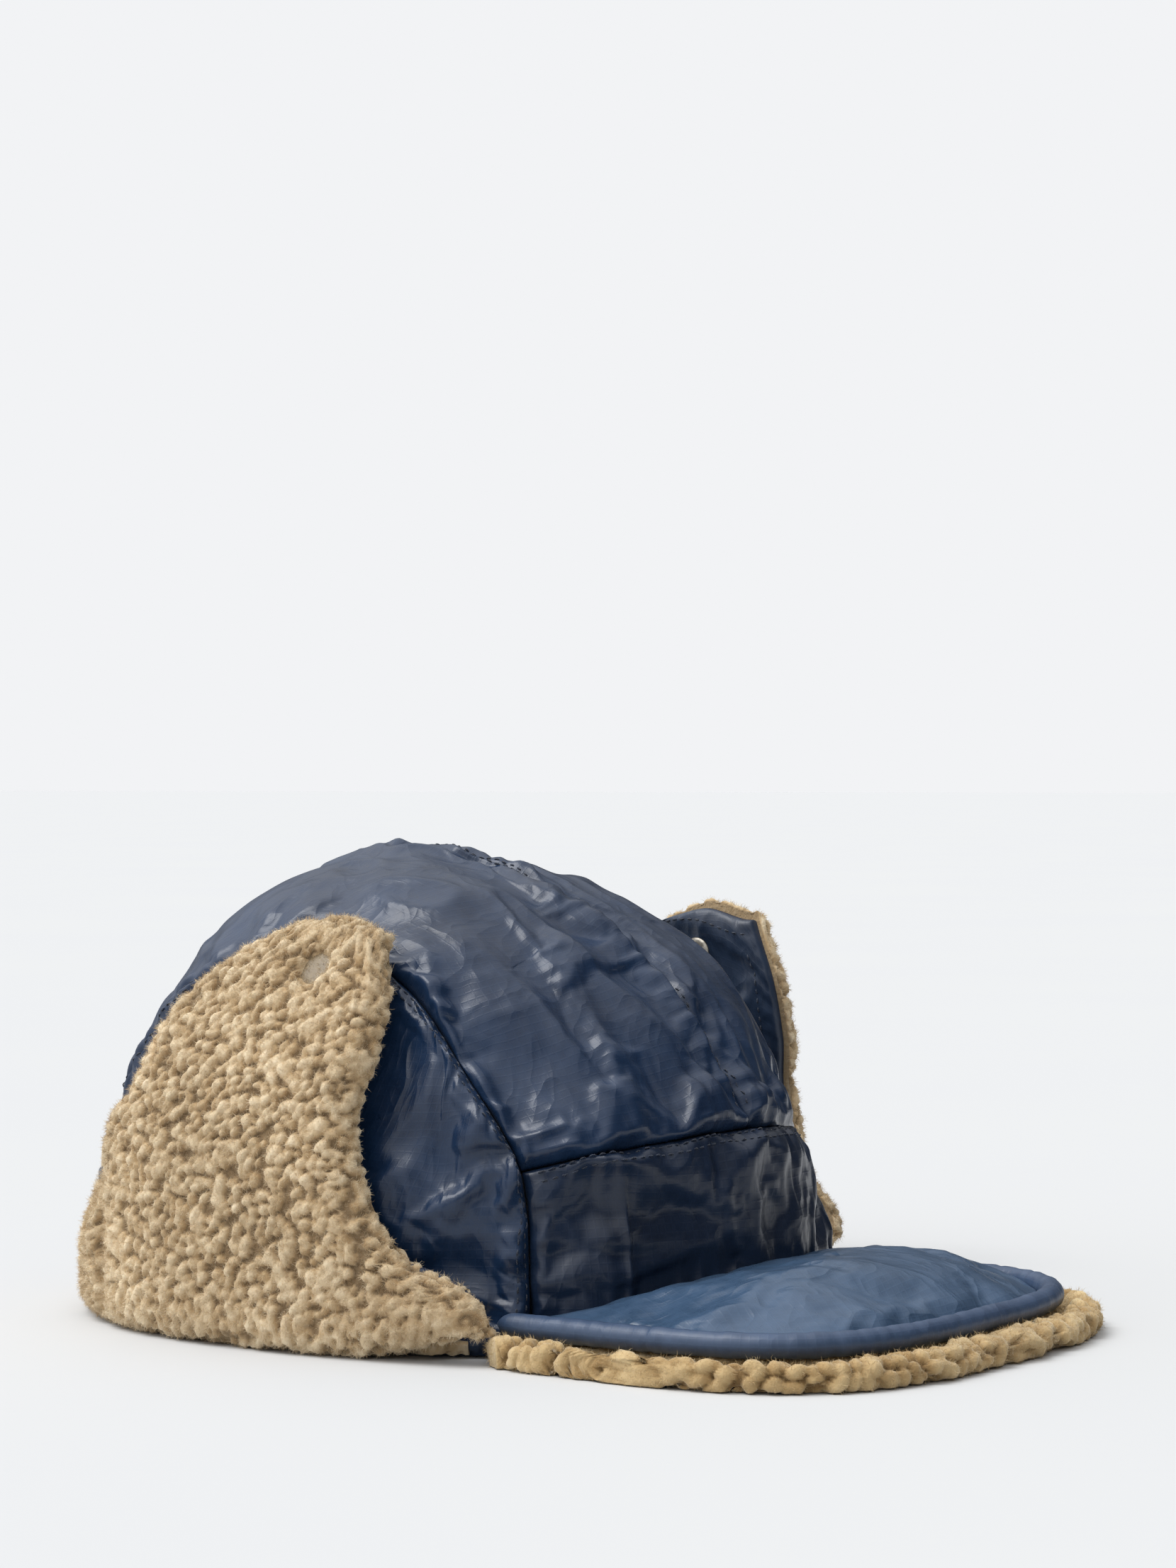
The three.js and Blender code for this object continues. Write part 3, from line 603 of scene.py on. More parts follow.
def nylon(name, shade, light, roughness=0.3, crinkle=0.3):
    """Semi-gloss ripstop nylon, woven in the piece's uv, which is in metres."""
    m = Nodes(name, roughness, Specular_IOR_Level=0.48, Sheen_Weight=0.02, Sheen_Roughness=0.4)
    cloth = m.node("UVMap", settings={"uv_map": "Cloth"})
    split = m.tree.nodes.new("ShaderNodeSeparateXYZ")
    m.put(split.inputs[0], cloth)
    across, along = split.outputs[0], split.outputs[1]
    ribs = []
    for axis in (across, along):
        wave = m.math("COSINE", m.math("MULTIPLY", axis, math.tau / RIPSTOP_PITCH))
        ribs.append(m.math("POWER", m.math("MAXIMUM", wave, 0.0), 6.0))
    rib = m.math("MAXIMUM", ribs[0], ribs[1])
    fine = m.math(
        "MULTIPLY",
        m.math("SINE", m.math("MULTIPLY", across, math.tau / THREAD_PITCH)),
        m.math("SINE", m.math("MULTIPLY", along, math.tau / THREAD_PITCH)),
    )
    mottle = m.noise(26 * MM, 3)
    streak = m.noise(3.2 * MM, 4)
    tone = m.math("ADD", m.math("MULTIPLY", mottle, 0.7), m.math("MULTIPLY", streak, 0.3))
    body = m.ramp(tone, [(0.3, shade), (0.7, light)])
    m.colour(m.blend(m.math("MULTIPLY", rib, 0.22), body, light))
    rough = m.math("MULTIPLY_ADD", streak, 0.16)
    m.put(rough.node.inputs[2], roughness - 0.08)
    m.put(m.shader.inputs["Roughness"], rough)
    warp = m.node("TexNoise", "Color", Vector=m.where, Scale=1 / CRINKLE_WARP_SIZE, Detail=2.0)
    bent = m.tree.nodes.new("ShaderNodeVectorMath")
    bent.operation = "MULTIPLY_ADD"
    m.put(bent.inputs[0], warp)
    bent.inputs[1].default_value = (CRINKLE_WARP,) * 3
    m.put(bent.inputs[2], m.where)
    bumps = []
    for size, turn, share, height in CRINKLES:
        mapping = m.tree.nodes.new("ShaderNodeMapping")
        m.put(mapping.inputs["Vector"], bent.outputs[0])
        mapping.inputs["Rotation"].default_value = (turn, 0.35, 0.2)
        mapping.inputs["Scale"].default_value = (1, 1, 0.42)
        off_middle = m.math("SUBTRACT", m.noise(size, 1.0, mapping.outputs[0]), 0.5)
        valley = m.math("ABSOLUTE", m.math("MULTIPLY", off_middle, 6.0))
        ridge = m.math("MAXIMUM", m.math("SUBTRACT", 1.0, valley), 0.0)
        bumps.append((m.math("POWER", ridge, 1.6), crinkle * share, height))
    m.bump(bumps + [(rib, 0.2, 0.1 * MM), (fine, 0.1, 0.04 * MM)])
    return m.material


def fleece(name, painted_groove_shade, mid, tip, roughness=0.95):
    """Sherpa pile, coloured with painted shade in its grooves and painted highlight on its crowns. The piece's
    tuft value is 0 in its grooves and 1 on its crowns, and its mark varies.
    """
    m = Nodes(name, roughness, Specular_IOR_Level=0.2, Sheen_Weight=0.85, Sheen_Roughness=0.45)
    m.shader.inputs["Subsurface Weight"].default_value = 0.12
    m.shader.inputs["Subsurface Radius"].default_value = (1.0, 0.7, 0.45)
    m.shader.inputs["Subsurface Scale"].default_value = 1.6 * MM
    m.shader.inputs["Sheen Tint"].default_value = linear("f0e2c6")
    # Painted shade and highlight: the first colour darkens the grooves as painted shade, and the last lightens
    # the crowns as painted highlight.
    body = m.ramp(m.value("tuft"), [(0.08, painted_groove_shade), (0.42, mid), (0.95, tip)])
    drift = m.ramp(m.noise(34 * MM, 2), [(0.3, "d8d0c4"), (0.7, "ffffff")])
    body = m.blend(1.0, body, drift, "MULTIPLY")
    curl = m.noise(1.3 * MM, 4)
    body = m.blend(m.math("MULTIPLY", curl, 0.35), body, tip)
    odd = m.ramp(m.value("mark"), [(0.0, "d4c8b6"), (1.0, "ffffff")])
    m.colour(m.blend(0.8, body, odd, "MULTIPLY"))
    m.bump([(curl, 0.6, 0.8 * MM), (m.noise(FIBRE_SIZE, 3), 0.5, 0.3 * MM)])
    return m.material


def metal(name, colour, roughness):
    m = Nodes(name, roughness, Metallic=1.0)
    wear = m.noise(1.6 * MM, 3)
    m.colour(m.ramp(wear, [(0.25, colour[0]), (0.8, colour[1])]))
    m.bump([(m.noise(0.5 * MM, 2), 0.15, 0.05 * MM)])
    return m.material


def plain(name, colours, roughness, grain, strength=0.2, **inputs):
    m = Nodes(name, roughness, **inputs)
    tone = m.noise(grain, 3)
    m.colour(m.ramp(tone, [(0.3, colours[0]), (0.7, colours[1])]))
    m.bump([(m.noise(grain / 3, 2), strength, grain / 8)])
    return m.material


def woven(name, colours, pitch, roughness=0.8):
    """A close woven tape or thread, by object position."""
    m = Nodes(name, roughness, Sheen_Weight=0.2)
    split = m.tree.nodes.new("ShaderNodeSeparateXYZ")
    m.put(split.inputs[0], m.where)
    waves = [m.math("SINE", m.math("MULTIPLY", split.outputs[k], math.tau / pitch)) for k in (0, 2)]
    weave = m.math("MULTIPLY", waves[0], waves[1])
    tone = m.math("ADD", m.math("MULTIPLY", weave, 0.25), m.noise(pitch * 5, 2))
    m.colour(m.ramp(tone, [(0.3, colours[0]), (0.8, colours[1])]))
    m.bump([(weave, 0.5, pitch / 3)])
    return m.material


NYLON = nylon("navy nylon", "0f2038", "1a304d")
# Painted shade: a darker copy of the navy nylon for the forehead band, which faces away from the light.
NYLON_BAND_PAINTED_SHADE = nylon("navy nylon band painted shade", "0b182b", "13243c", 0.34)
# Painted light: a lighter copy of the navy nylon for the visor's cover, which faces up to the light.
NYLON_VISOR_PAINTED_LIGHT = nylon("navy nylon visor painted light", "2b4159", "3e5672", 0.3, 0.3)
NYLON_INNER = nylon("navy nylon lining side", "182437", "26374f", 0.4)
PIPING = nylon("navy piping", "2a3b54", "3f526e", 0.42, 0.2)
# Navy thread in its own colour, made darker still as painted shadow of the needle holes.
THREAD_WITH_HOLE_SHADOW = woven("navy thread with painted hole shadow", ("0b1322", "1f2f48"), 0.5 * MM, 0.6)
# The tan sherpa's first colour is painted shade for its grooves, and its last is painted highlight for its
# crowns.
FLEECE = fleece("tan sherpa", "7e6648", "c8ab80", "f4e6ca")
# Painted shade: a darker copy of the tan sherpa for the pile under the visor, with the same painted groove
# shade and crown highlight.
FLEECE_VISOR_PAINTED_SHADE = fleece("tan sherpa visor painted shade", "795d38", "b39566", "dfc89c")
STEEL = metal("antique metal", ("4d4a45", "9b968c"), 0.36)
# The snap cap's own tan, made darker as painted shade where it sits sunk in the pile.
CAP_WITH_PAINTED_SHADE = plain("tan cap with painted shade", ("6f5f45", "82704f"), 0.46, 4 * MM, 0.1, Coat_Weight=0.15)
BOARD = plain("visor board", ("2b2b2c", "3c3c3e"), 0.55, 2 * MM)
TAPE = woven("label tape", ("c9c4b8", "e8e4da"), 0.45 * MM)


# ---- Shells: nylon sheets over wadding ----
def swell(distance, reach):
    """0 at a seam and 1 past reach, rising like padding held down by its stitches."""
    return 1 - (1 - np.clip(distance / reach, 0, 1)) ** 2


def closed_shell(name, outer, inner, uv, values=None):
    """A closed piece between two grids, joined round their edge. values holds (outer, inner) pairs by key."""
    rows, columns = outer.shape[:2]
    count = rows * columns
    faces = list(grid_faces(rows, columns)) + [f[::-1] for f in grid_faces(rows, columns, count)]
    index = np.arange(count).reshape(rows, columns)
    loop = np.concatenate([index[0], index[1:, -1], index[-1, -2::-1], index[-2:0:-1, 0]])
    nxt = np.roll(loop, -1)
    faces += [(b, a, a + count, b + count) for a, b in zip(loop, nxt)]
    points = np.concatenate([outer.reshape(-1, 3), inner.reshape(-1, 3)])
    both = {key: np.concatenate([np.ravel(part) for part in pair]) for key, pair in (values or {}).items()}
    return make_mesh(name, points, faces, np.concatenate([uv.reshape(-1, 2)] * 2), both)


def cloth_uv(points):
    d = grid_lengths(points)
    return np.stack([d["left"], d["bottom"]], -1)


# ---- The crown, its side seams and its five padded panels ----
EDGES = ("left", "right", "bottom", "top")
SEAM_DEPTH, SEAM_GROOVE, GROOVE_REACH = 1.1 * MM, 0.6 * MM, 1.1 * MM
SEAM_REACH = 15 * MM
PANEL_CELLS = {"side": (124, 70), "top": (54, 184), "band": (112, 40)}
BACKING, DEEPEST = -6.9 * MM, -6.2 * MM
FRONT_PUFF, FRONT_PUFF_REACH = 3.2 * MM, 30 * MM
CLEAR_OF_FLOOR = 0.4 * MM
PUCKER_REACH, PUCKER_SIZE = 9 * MM, 6.5 * MM
# Seeds of one call's parts differ by these steps.
SEED_STEP, SEED_STEP_2 = 31, 17


def pinned(distance):
    """How firmly a sheet is held at a distance from its edge: fully on the seam, and not at all past it."""
    return np.clip(1 - (distance - 0.4 * MM) / (1.2 * MM), 0, 1)


def puckers(points, seed, height=1.75 * MM):
    """Short gathers that run in from each sewn edge, square to it."""
    d = grid_lengths(points)
    total = np.zeros(points.shape[:2])
    runs = {"left": d["bottom"], "right": d["bottom"], "bottom": d["left"], "top": d["left"]}
    for k, edge in enumerate(EDGES):
        away = d[edge]
        place = np.stack([runs[edge], away * 0.28, np.full_like(away, 0.1 * k)], -1)
        gather = 0.7 - 1.6 * np.abs(value_noise(place, PUCKER_SIZE, seed + SEED_STEP * k))
        gather = gather + 0.7 * value_noise(place, PUCKER_SIZE * 2.6, seed + SEED_STEP_2 * k)
        total = total + gather * (np.exp(-away / PUCKER_REACH) * smooth(away / (2.2 * MM)))
    return total * height


def creases(points, direction, size, stretch, seed):
    """Long creases along a direction: sharp ridges between wide soft valleys."""
    along = unit(np.asarray(direction, float))
    local = points - dot(points, along)[..., None] * along * (1 - 1 / stretch)
    local = local + noise_vector(points, size * 2.2, seed + 3) * size * 0.45
    ridge = 1 - np.abs(value_noise(local, size, seed))
    return ridge**3


def radiating_folds(points, normals, seed, count, length, width, height):
    """Creases that start at the seams and run into the panel, sharp on one side and soft on the other."""
    random = np.random.default_rng(seed)
    rows, columns = points.shape[:2]
    total = np.zeros((rows, columns))
    for _ in range(count):
        edge = EDGES[random.integers(len(EDGES))]
        share = random.uniform(0.04, 0.96)
        inner = random.uniform(0.25, 0.75, 2)
        i, j = {
            "left": (share * (rows - 1), 0),
            "right": (share * (rows - 1), columns - 1),
            "bottom": (0, share * (columns - 1)),
            "top": (rows - 1, share * (columns - 1)),
        }[edge]
        start = points[int(i), int(j)]
        aim = points[int(mix(i, inner[0] * rows, 0.5)), int(mix(j, inner[1] * columns, 0.5))]
        way = unit(aim - start)
        size = random.uniform(*length)
        thick = random.uniform(*width)
        tall = random.uniform(*height) * (size / length[1]) ** 0.4
        offset = points - start
        along = dot(offset, way) / size
        side = dot(offset, unit(np.cross(way, normals)))
        side = side + random.uniform(-0.25, 0.25) * size * np.clip(along, 0, 1) ** 2
        grow = thick * (1 + 1.3 * np.clip(along, 0, 1))
        soft, sharp = np.exp(-((side / (grow * 1.9)) ** 2)), np.exp(-np.abs(side) / (grow * 0.55))
        shape = np.where(side < 0, soft, sharp)
        taper = smooth(along * 9 + 0.35) * smooth((1 - along) * 1.6)
        near = np.linalg.norm(offset, axis=-1) < size * 1.3
        total = np.maximum(total, np.where(near, shape * taper * tall, 0))
    return total


class Sheet:
    """A grid of points on the hat's surface, with their normals and how firmly each is pinned. start holds
    their places before the cloth swells, and swollen their places after it."""

    def __init__(self, points, normals, pins):
        self.points, self.normals, self.pins = points, normals, pins

    def mirrored(self):
        return Sheet(flip_x(self.points)[:, ::-1], flip_x(self.normals)[:, ::-1], self.pins[:, ::-1])

    def rise_from(self, heights):
        return self.points + self.normals * heights[..., None]


def panel_sheet(name, seed, mirror=False):
    points, normals = patch_grid(name, PANEL_CELLS[name])
    d = edge_distance(points)
    depth = -SEAM_DEPTH * (1 - swell(d, SEAM_REACH)) - SEAM_GROOVE * np.exp(-d / GROOVE_REACH)
    sheet = Sheet(points, normals, pinned(d))
    if mirror:
        sheet, d, depth = sheet.mirrored(), d[:, ::-1], depth[:, ::-1]
    gathers = puckers(sheet.points, seed)
    if name == "top":
        ahead = past(sheet.points[..., 1], 10 * MM, -45 * MM) * past(sheet.points[..., 2], 76 * MM, 30 * MM)
        depth = depth + FRONT_PUFF * ahead * swell(d, FRONT_PUFF_REACH)
    sheet.start = sheet.rise_from(depth + gathers)
    return sheet


def swell_sheets(sheets, grow, pressure, low, high, sideways, bending, seed):
    """Runs one cloth simulation over several separate sheets, and stores each one's swollen points."""
    points = np.concatenate([s.start.reshape(-1, 3) for s in sheets])
    pins = np.concatenate([s.pins.ravel() for s in sheets])
    faces, first = [], 0
    for s in sheets:
        quads = grid_faces(*s.start.shape[:2], first)
        facing = dot(grid_normals(s.start), s.normals).sum() > 0
        faces += list(quads if facing else quads[:, ::-1])
        first += s.start.shape[0] * s.start.shape[1]
    result = simulate(points, faces, pins, grow, pressure, bending=bending, seed=seed)
    first = 0
    for s in sheets:
        count = s.start.shape[0] * s.start.shape[1]
        moved = result[first : first + count].reshape(s.start.shape)
        moved = capped(moved, s.start, s.normals, low, high(s) if callable(high) else high, sideways)
        moved[..., 2] = np.maximum(moved[..., 2], CLEAR_OF_FLOOR)
        s.swollen = moved
        first += count


def shell_piece(sheet, name, body, material, replaced, back=None):
    """A padded piece from a swollen sheet, backed by a plain inner face."""
    inner = sheet.points + sheet.normals * BACKING if back is None else back
    outer, uv = sheet.swollen, cloth_uv(sheet.points)
    if dot(grid_normals(outer), sheet.normals).sum() < 0:
        outer, inner, uv = outer[:, ::-1], inner[:, ::-1], uv[:, ::-1]
    piece = closed_shell(name, outer, inner, uv)
    add_modifier(piece, "SUBSURF", levels=1, render_levels=1)
    finish(piece, body, material)
    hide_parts(*replaced)
    return piece


# Broad unevenness of the crown, in millimetres: each one's centre, its reach along each axis and its height.
SLUMPS = (
    ((56, -95, 57), (36, 32, 30), -7.5),
    ((48, -72, 100), (34, 34, 22), 2.6),
    ((-30, 30, 138), (40, 50, 30), 1.2),
)


def slump(points):
    """How far the crown's cloth stands out in a few broad places, or has sunk where it is negative."""
    total = 0
    for centre, size, height in SLUMPS:
        share = (points / MM - np.array(centre)) / np.array(size)
        total = total + np.exp(-dot(share, share)) * height * MM
    return total


crown_sheets = {
    "side_right": panel_sheet("side", 11),
    "side_left": panel_sheet("side", 12, mirror=True),
    "top_right": panel_sheet("top", 13),
    "top_left": panel_sheet("top", 14, mirror=True),
    "band": panel_sheet("band", 15),
}
# How far the crown's cloth may swell: high on it, low on it, and where a folded flap lies over it.
ROOM_HIGH, ROOM_LOW, ROOM_COVERED = 3.8 * MM, 2.2 * MM, 1.4 * MM
FOLD_ROOM = 1.5


def crown_room(sheet):
    x, y, z = np.moveaxis(sheet.points, -1, 0)
    flapped = past(y, -48 * MM, 14 * MM) * past(z, 108 * MM, -10 * MM)
    beside = past(np.abs(x), 60 * MM, 12 * MM)
    back = past(y, 50 * MM, 10 * MM) * past(z, 56 * MM, -10 * MM)
    covered = np.clip(flapped * beside + back, 0, 1)
    low = 1 - past(z, 50 * MM, 35 * MM)
    return mix(mix(ROOM_HIGH, ROOM_LOW, low), ROOM_COVERED, covered)[..., None]


# Soft creases over the whole panel: size, stretch, height in millimetres, reach from the seams and seed step.
SOFT_CREASES = ((26 * MM, 3.0, 1.6, 12 * MM, 0), (15 * MM, 4.5, 2.2, 9 * MM, 20))
CREASE_WAY = {"top": (0.05, -0.75, -0.62), "side": (0.2, -0.6, 0.75), "band": (0.8, 0.1, 0.45)}
# Folds that run in from the seams: the ranges of their length, width and height.
LONG_FOLDS = (30 * MM, 80 * MM), (1.9 * MM, 4.0 * MM), (2.6 * MM, 5.2 * MM)
SHORT_FOLDS = (9 * MM, 24 * MM), (1.7 * MM, 2.8 * MM), (1.2 * MM, 2.4 * MM)
FOLD_COUNT, SHORT_PER_LONG, SHORT_SHARE = {"top": 30, "side": 22, "band": 16}, 5, 0.8

# Each call gives: how much too large the cloth is cut, the pressure, how far it may go in, out and sideways,
# its bending stiffness and its seed.
swell_sheets(list(crown_sheets.values()), 0.045, 4.0, -3.2 * MM, crown_room, 3.0 * MM, 0.25, 5)
for label, seed in (("side_right", 3), ("side_left", 4), ("top_right", 5), ("top_left", 6), ("band", 7)):
    sheet, kind = crown_sheets[label], label.split("_")[0]
    d, way = edge_distance(sheet.points), (sheet.points, sheet.normals)
    soft = 0
    for size, stretch, height, reach, step in SOFT_CREASES:
        crease = creases(sheet.points, CREASE_WAY[kind], size, stretch, seed + step)
        soft = soft + crease * height * MM * smooth(d / reach)
    count = FOLD_COUNT[kind]
    long_folds = radiating_folds(*way, seed + 40, count, *LONG_FOLDS)
    short_folds = radiating_folds(*way, seed + 60, count * SHORT_PER_LONG, *SHORT_FOLDS)
    sunk = smooth((d - 0.5 * MM) / (3 * MM))
    lift = (long_folds + SHORT_SHARE * short_folds) * sunk + soft - 1.2 * MM * smooth(d / (9 * MM))
    room = crown_room(sheet)[..., 0] * FOLD_ROOM
    lift = room * np.tanh(lift / room)
    rise = dot(sheet.swollen - sheet.points, sheet.normals)
    change = np.maximum(rise + lift + slump(sheet.points), DEEPEST) - rise
    sheet.swollen = sheet.swollen + sheet.normals * change[..., None]
    sheet.swollen[..., 2] = np.maximum(sheet.swollen[..., 2], CLEAR_OF_FLOOR)

# The forehead band takes the darker copy of the nylon, which is painted shade.
shell_piece(
    crown_sheets["band"], "forehead_panel", "crown", NYLON_BAND_PAINTED_SHADE, ("forehead_band", "forehead_wadding")
)
for side in ("right", "left"):
    for kind in ("side", "top"):
        shell_piece(
            crown_sheets[kind + "_" + side], kind + "_panel_padded_" + side, "crown", NYLON,
            (kind + "_panel_" + side, kind + "_wadding_" + side),
        )


# ---- Stitches ----
STITCH_LENGTH, STITCH_GAP, STITCH_WIDTH = 2.3 * MM, 0.8 * MM, 0.55 * MM
# A stitch's rings: their places along it, their sizes, how far each is lifted, and their six-sided outline.
STITCH_PLACES = np.array([0.0, 0.22, 0.5, 0.78, 1.0])
STITCH_SIZES = np.array([0.25, 0.85, 1.0, 0.85, 0.25])[:, None, None]
STITCH_LIFTS = np.array([-0.9, 0.25, 0.6, 0.25, -0.9])[:, None]
STITCH_RING = np.array([[-1, 0.0], [-0.55, 0.75], [0.55, 0.75], [1, 0.0], [0.55, -0.5], [-0.55, -0.5]])


def stitch_row(path, normals):
    """Vertices and faces of a row of thread stitches along a path, each one a small padded lozenge."""
    reach = run_along(path)
    vertices, faces = [], []
    for s in np.arange(STITCH_GAP, reach[-1] - STITCH_LENGTH, STITCH_LENGTH + STITCH_GAP):
        at = s + STITCH_LENGTH * STITCH_PLACES
        centre = np.stack([np.interp(at, reach, path[:, k]) for k in range(3)], -1)
        normal = unit(np.stack([np.interp(at, reach, normals[:, k]) for k in range(3)], -1))
        tangent = unit(np.gradient(centre, axis=0))
        side = np.cross(normal, tangent)
        size = STITCH_SIZES * STITCH_WIDTH / 2
        middle = centre + normal * (STITCH_LIFTS * STITCH_WIDTH / 2)
        rings = middle[:, None] + size * (
            side[:, None] * STITCH_RING[:, :1] + normal[:, None] * STITCH_RING[:, 1:]
        )
        base = len(vertices)
        vertices += list(rings.reshape(-1, 3))
        for a in range(4):
            for b in range(6):
                c = (b + 1) % 6
                faces.append((base + 6 * a + b, base + 6 * a + c, base + 6 * a + 6 + c, base + 6 * a + 6 + b))
        faces += [tuple(base + 5 - b for b in range(6)), tuple(base + 24 + b for b in range(6))]
    return vertices, faces


def line_inside(sheet, edge, inset, trim=3):
    """The points of a swollen sheet at a distance inside one of its edges, and its normals there."""
    points, base = sheet.swollen, sheet.points
    normals = outward_normals(points, sheet.normals)
    if edge in ("bottom", "top"):
        points, normals, base = (a.transpose(1, 0, 2) for a in (points, normals, base))
    if edge in ("right", "top"):
        points, normals, base = points[:, ::-1], normals[:, ::-1], base[:, ::-1]
    reach = np.concatenate(
        [np.zeros((len(base), 1)), np.cumsum(np.linalg.norm(np.diff(base, axis=1), axis=-1), 1)], 1
    )
    path, ways = [], []
    for row in range(trim, len(base) - trim):
        path.append([np.interp(inset, reach[row], points[row, :, k]) for k in range(3)])
        ways.append([np.interp(inset, reach[row], normals[row, :, k]) for k in range(3)])
    return np.array(path), unit(np.array(ways))


def stitch_piece(name, body, rows):
    vertices, faces = [], []
    for path, normals in rows:
        v, f = stitch_row(path, normals)
        faces += [tuple(k + len(vertices) for k in face) for face in f]
        vertices += v
    piece = make_mesh(name, np.array(vertices), faces)
    return finish(piece, body, THREAD_WITH_HOLE_SHADOW)


TOPSTITCH = (1.7 * MM, 4.3 * MM)
rows = []
for side in ("right", "left"):
    # Sheets of the left side are mirrored, so their left and right edges change places.
    inner, outer = ("right", "left") if side == "right" else ("left", "right")
    rows += [line_inside(crown_sheets["side_" + side], "top", d) for d in TOPSTITCH]
    rows += [line_inside(crown_sheets["side_" + side], outer, d) for d in TOPSTITCH]
    rows += [line_inside(crown_sheets["top_" + side], inner, d) for d in TOPSTITCH[:1]]
rows += [line_inside(crown_sheets["band"], "top", d) for d in TOPSTITCH]
stitch_piece("crown_topstitching", "crown", rows)


# ---- Sherpa pile ----
PILE_LEAN = unit(np.array([0.0, -0.75, 0.66]))
TUFT_SIZE, TUFT_HEIGHT = 2.7 * MM, 3.2 * MM
RIM_TUFT_SIZE, RIM_TUFT_HEIGHT = 3.9 * MM, 4.6 * MM
CAP_RISE = 10.3 * MM
# How an ear flap's cloth strays from the CAD: ahead of its front edge, out from the crown there, above its
# top edge, and at its lower front tip.
FLAP_PROUD = {"right": 4.5 * MM, "left": 9 * MM}
FLAP_FLARE, FLARE_REACH = {"right": 0.0, "left": 14 * MM}, 48 * MM
FLAP_CREST, CREST_REACH, FRONT_REACH = 3.2 * MM, 22 * MM, 30 * MM
TIP_SHIFT = {"right": MM * np.array([-1, -9, 8]), "left": MM * np.array([0, 8, 0])}
TIP_REACH = 34 * MM
PILE_STRETCH = 1.35


def cluster(count, share=0.08, edge_count=9, ends=(True, True)):
    """Shares from 0 to 1, closer together towards the chosen ends, where a slab's edge rolls over."""
    turn = share * (1 - np.cos(np.linspace(0, math.pi / 2, edge_count + 1)))
    low = turn if ends[0] else np.array([0.0])
    high = 1 - turn[::-1] if ends[1] else np.array([1.0])
    middle = np.linspace(low[-1], high[0], count + 2)[1:-1]
    return np.concatenate([low, middle, high])


def rolled(distances, radii):
    """1 inside a slab, falling to 0 on its edges along a quarter circle of each edge's radius."""
    share = 1.0
    for edge, radius in radii.items():
        near = np.clip(distances[edge] / radius, 0, 1)
        share = np.minimum(share, np.sqrt(np.clip(1 - (1 - near) ** 2, 0, 1)))
    return share


def pile_height(points, size, seed):
    """How far the pile stands at each point, from 0 to 1, and each tuft's random mark."""
    local = points - dot(points, PILE_LEAN)[..., None] * PILE_LEAN * (1 - 1 / PILE_STRETCH)
    local = local + noise_vector(local, size * 2.4, seed) * size * 0.42
    big, mark = tufts(local, size, seed + 1)
    curl = local + noise_vector(local, size, seed + 5) * size * 0.2
    small = 0.5 + 0.5 * value_noise(curl, size * 0.45, seed + 2)
    patch = 0.5 + 0.5 * value_noise(points, size * 4, seed + 9)
    return np.clip(big * (0.62 + 0.18 * patch) + small * 0.22, 0, 1), mark


def pile_slab(base, guide, size, height, seed, floor, sink=0.35, scale=1.0):
    """Raises tufts from a grid. Returns the tufted grid, and the tuft and mark values."""
    surface = outward_normals(base, guide)
    tuft, mark = pile_height(base, size, seed)
    points = base + surface * ((tuft - sink) * height * scale)[..., None]
    points[..., 2] = np.maximum(points[..., 2], floor + 0.25 * MM * mark)
    return points, tuft, mark


QUIET_TUFT, QUIET_MARK = 0.2, 0.5


def pile_piece(name, body, points, back, tuft, mark, guide):
    """A closed slab of pile, whose back takes one quiet shade."""
    if dot(grid_normals(points), guide).sum() < 0:
        points, back, tuft, mark = points[:, ::-1], back[:, ::-1], tuft[:, ::-1], mark[:, ::-1]
    shades = {"tuft": (tuft, np.full(tuft.size, QUIET_TUFT)), "mark": (mark, np.full(mark.size, QUIET_MARK))}
    piece = closed_shell(name, points, back, cloth_uv(back), shades)
    finish(piece, body, FLEECE)
    return piece


FUZZ_LENGTH, FUZZ_WIDTH, FUZZ_ROOT = (1.0 * MM, 2.6 * MM), 0.1 * MM, 0.3 * MM
FLAP_FUZZ_COUNT, VISOR_FUZZ_COUNT = 60000, 42000


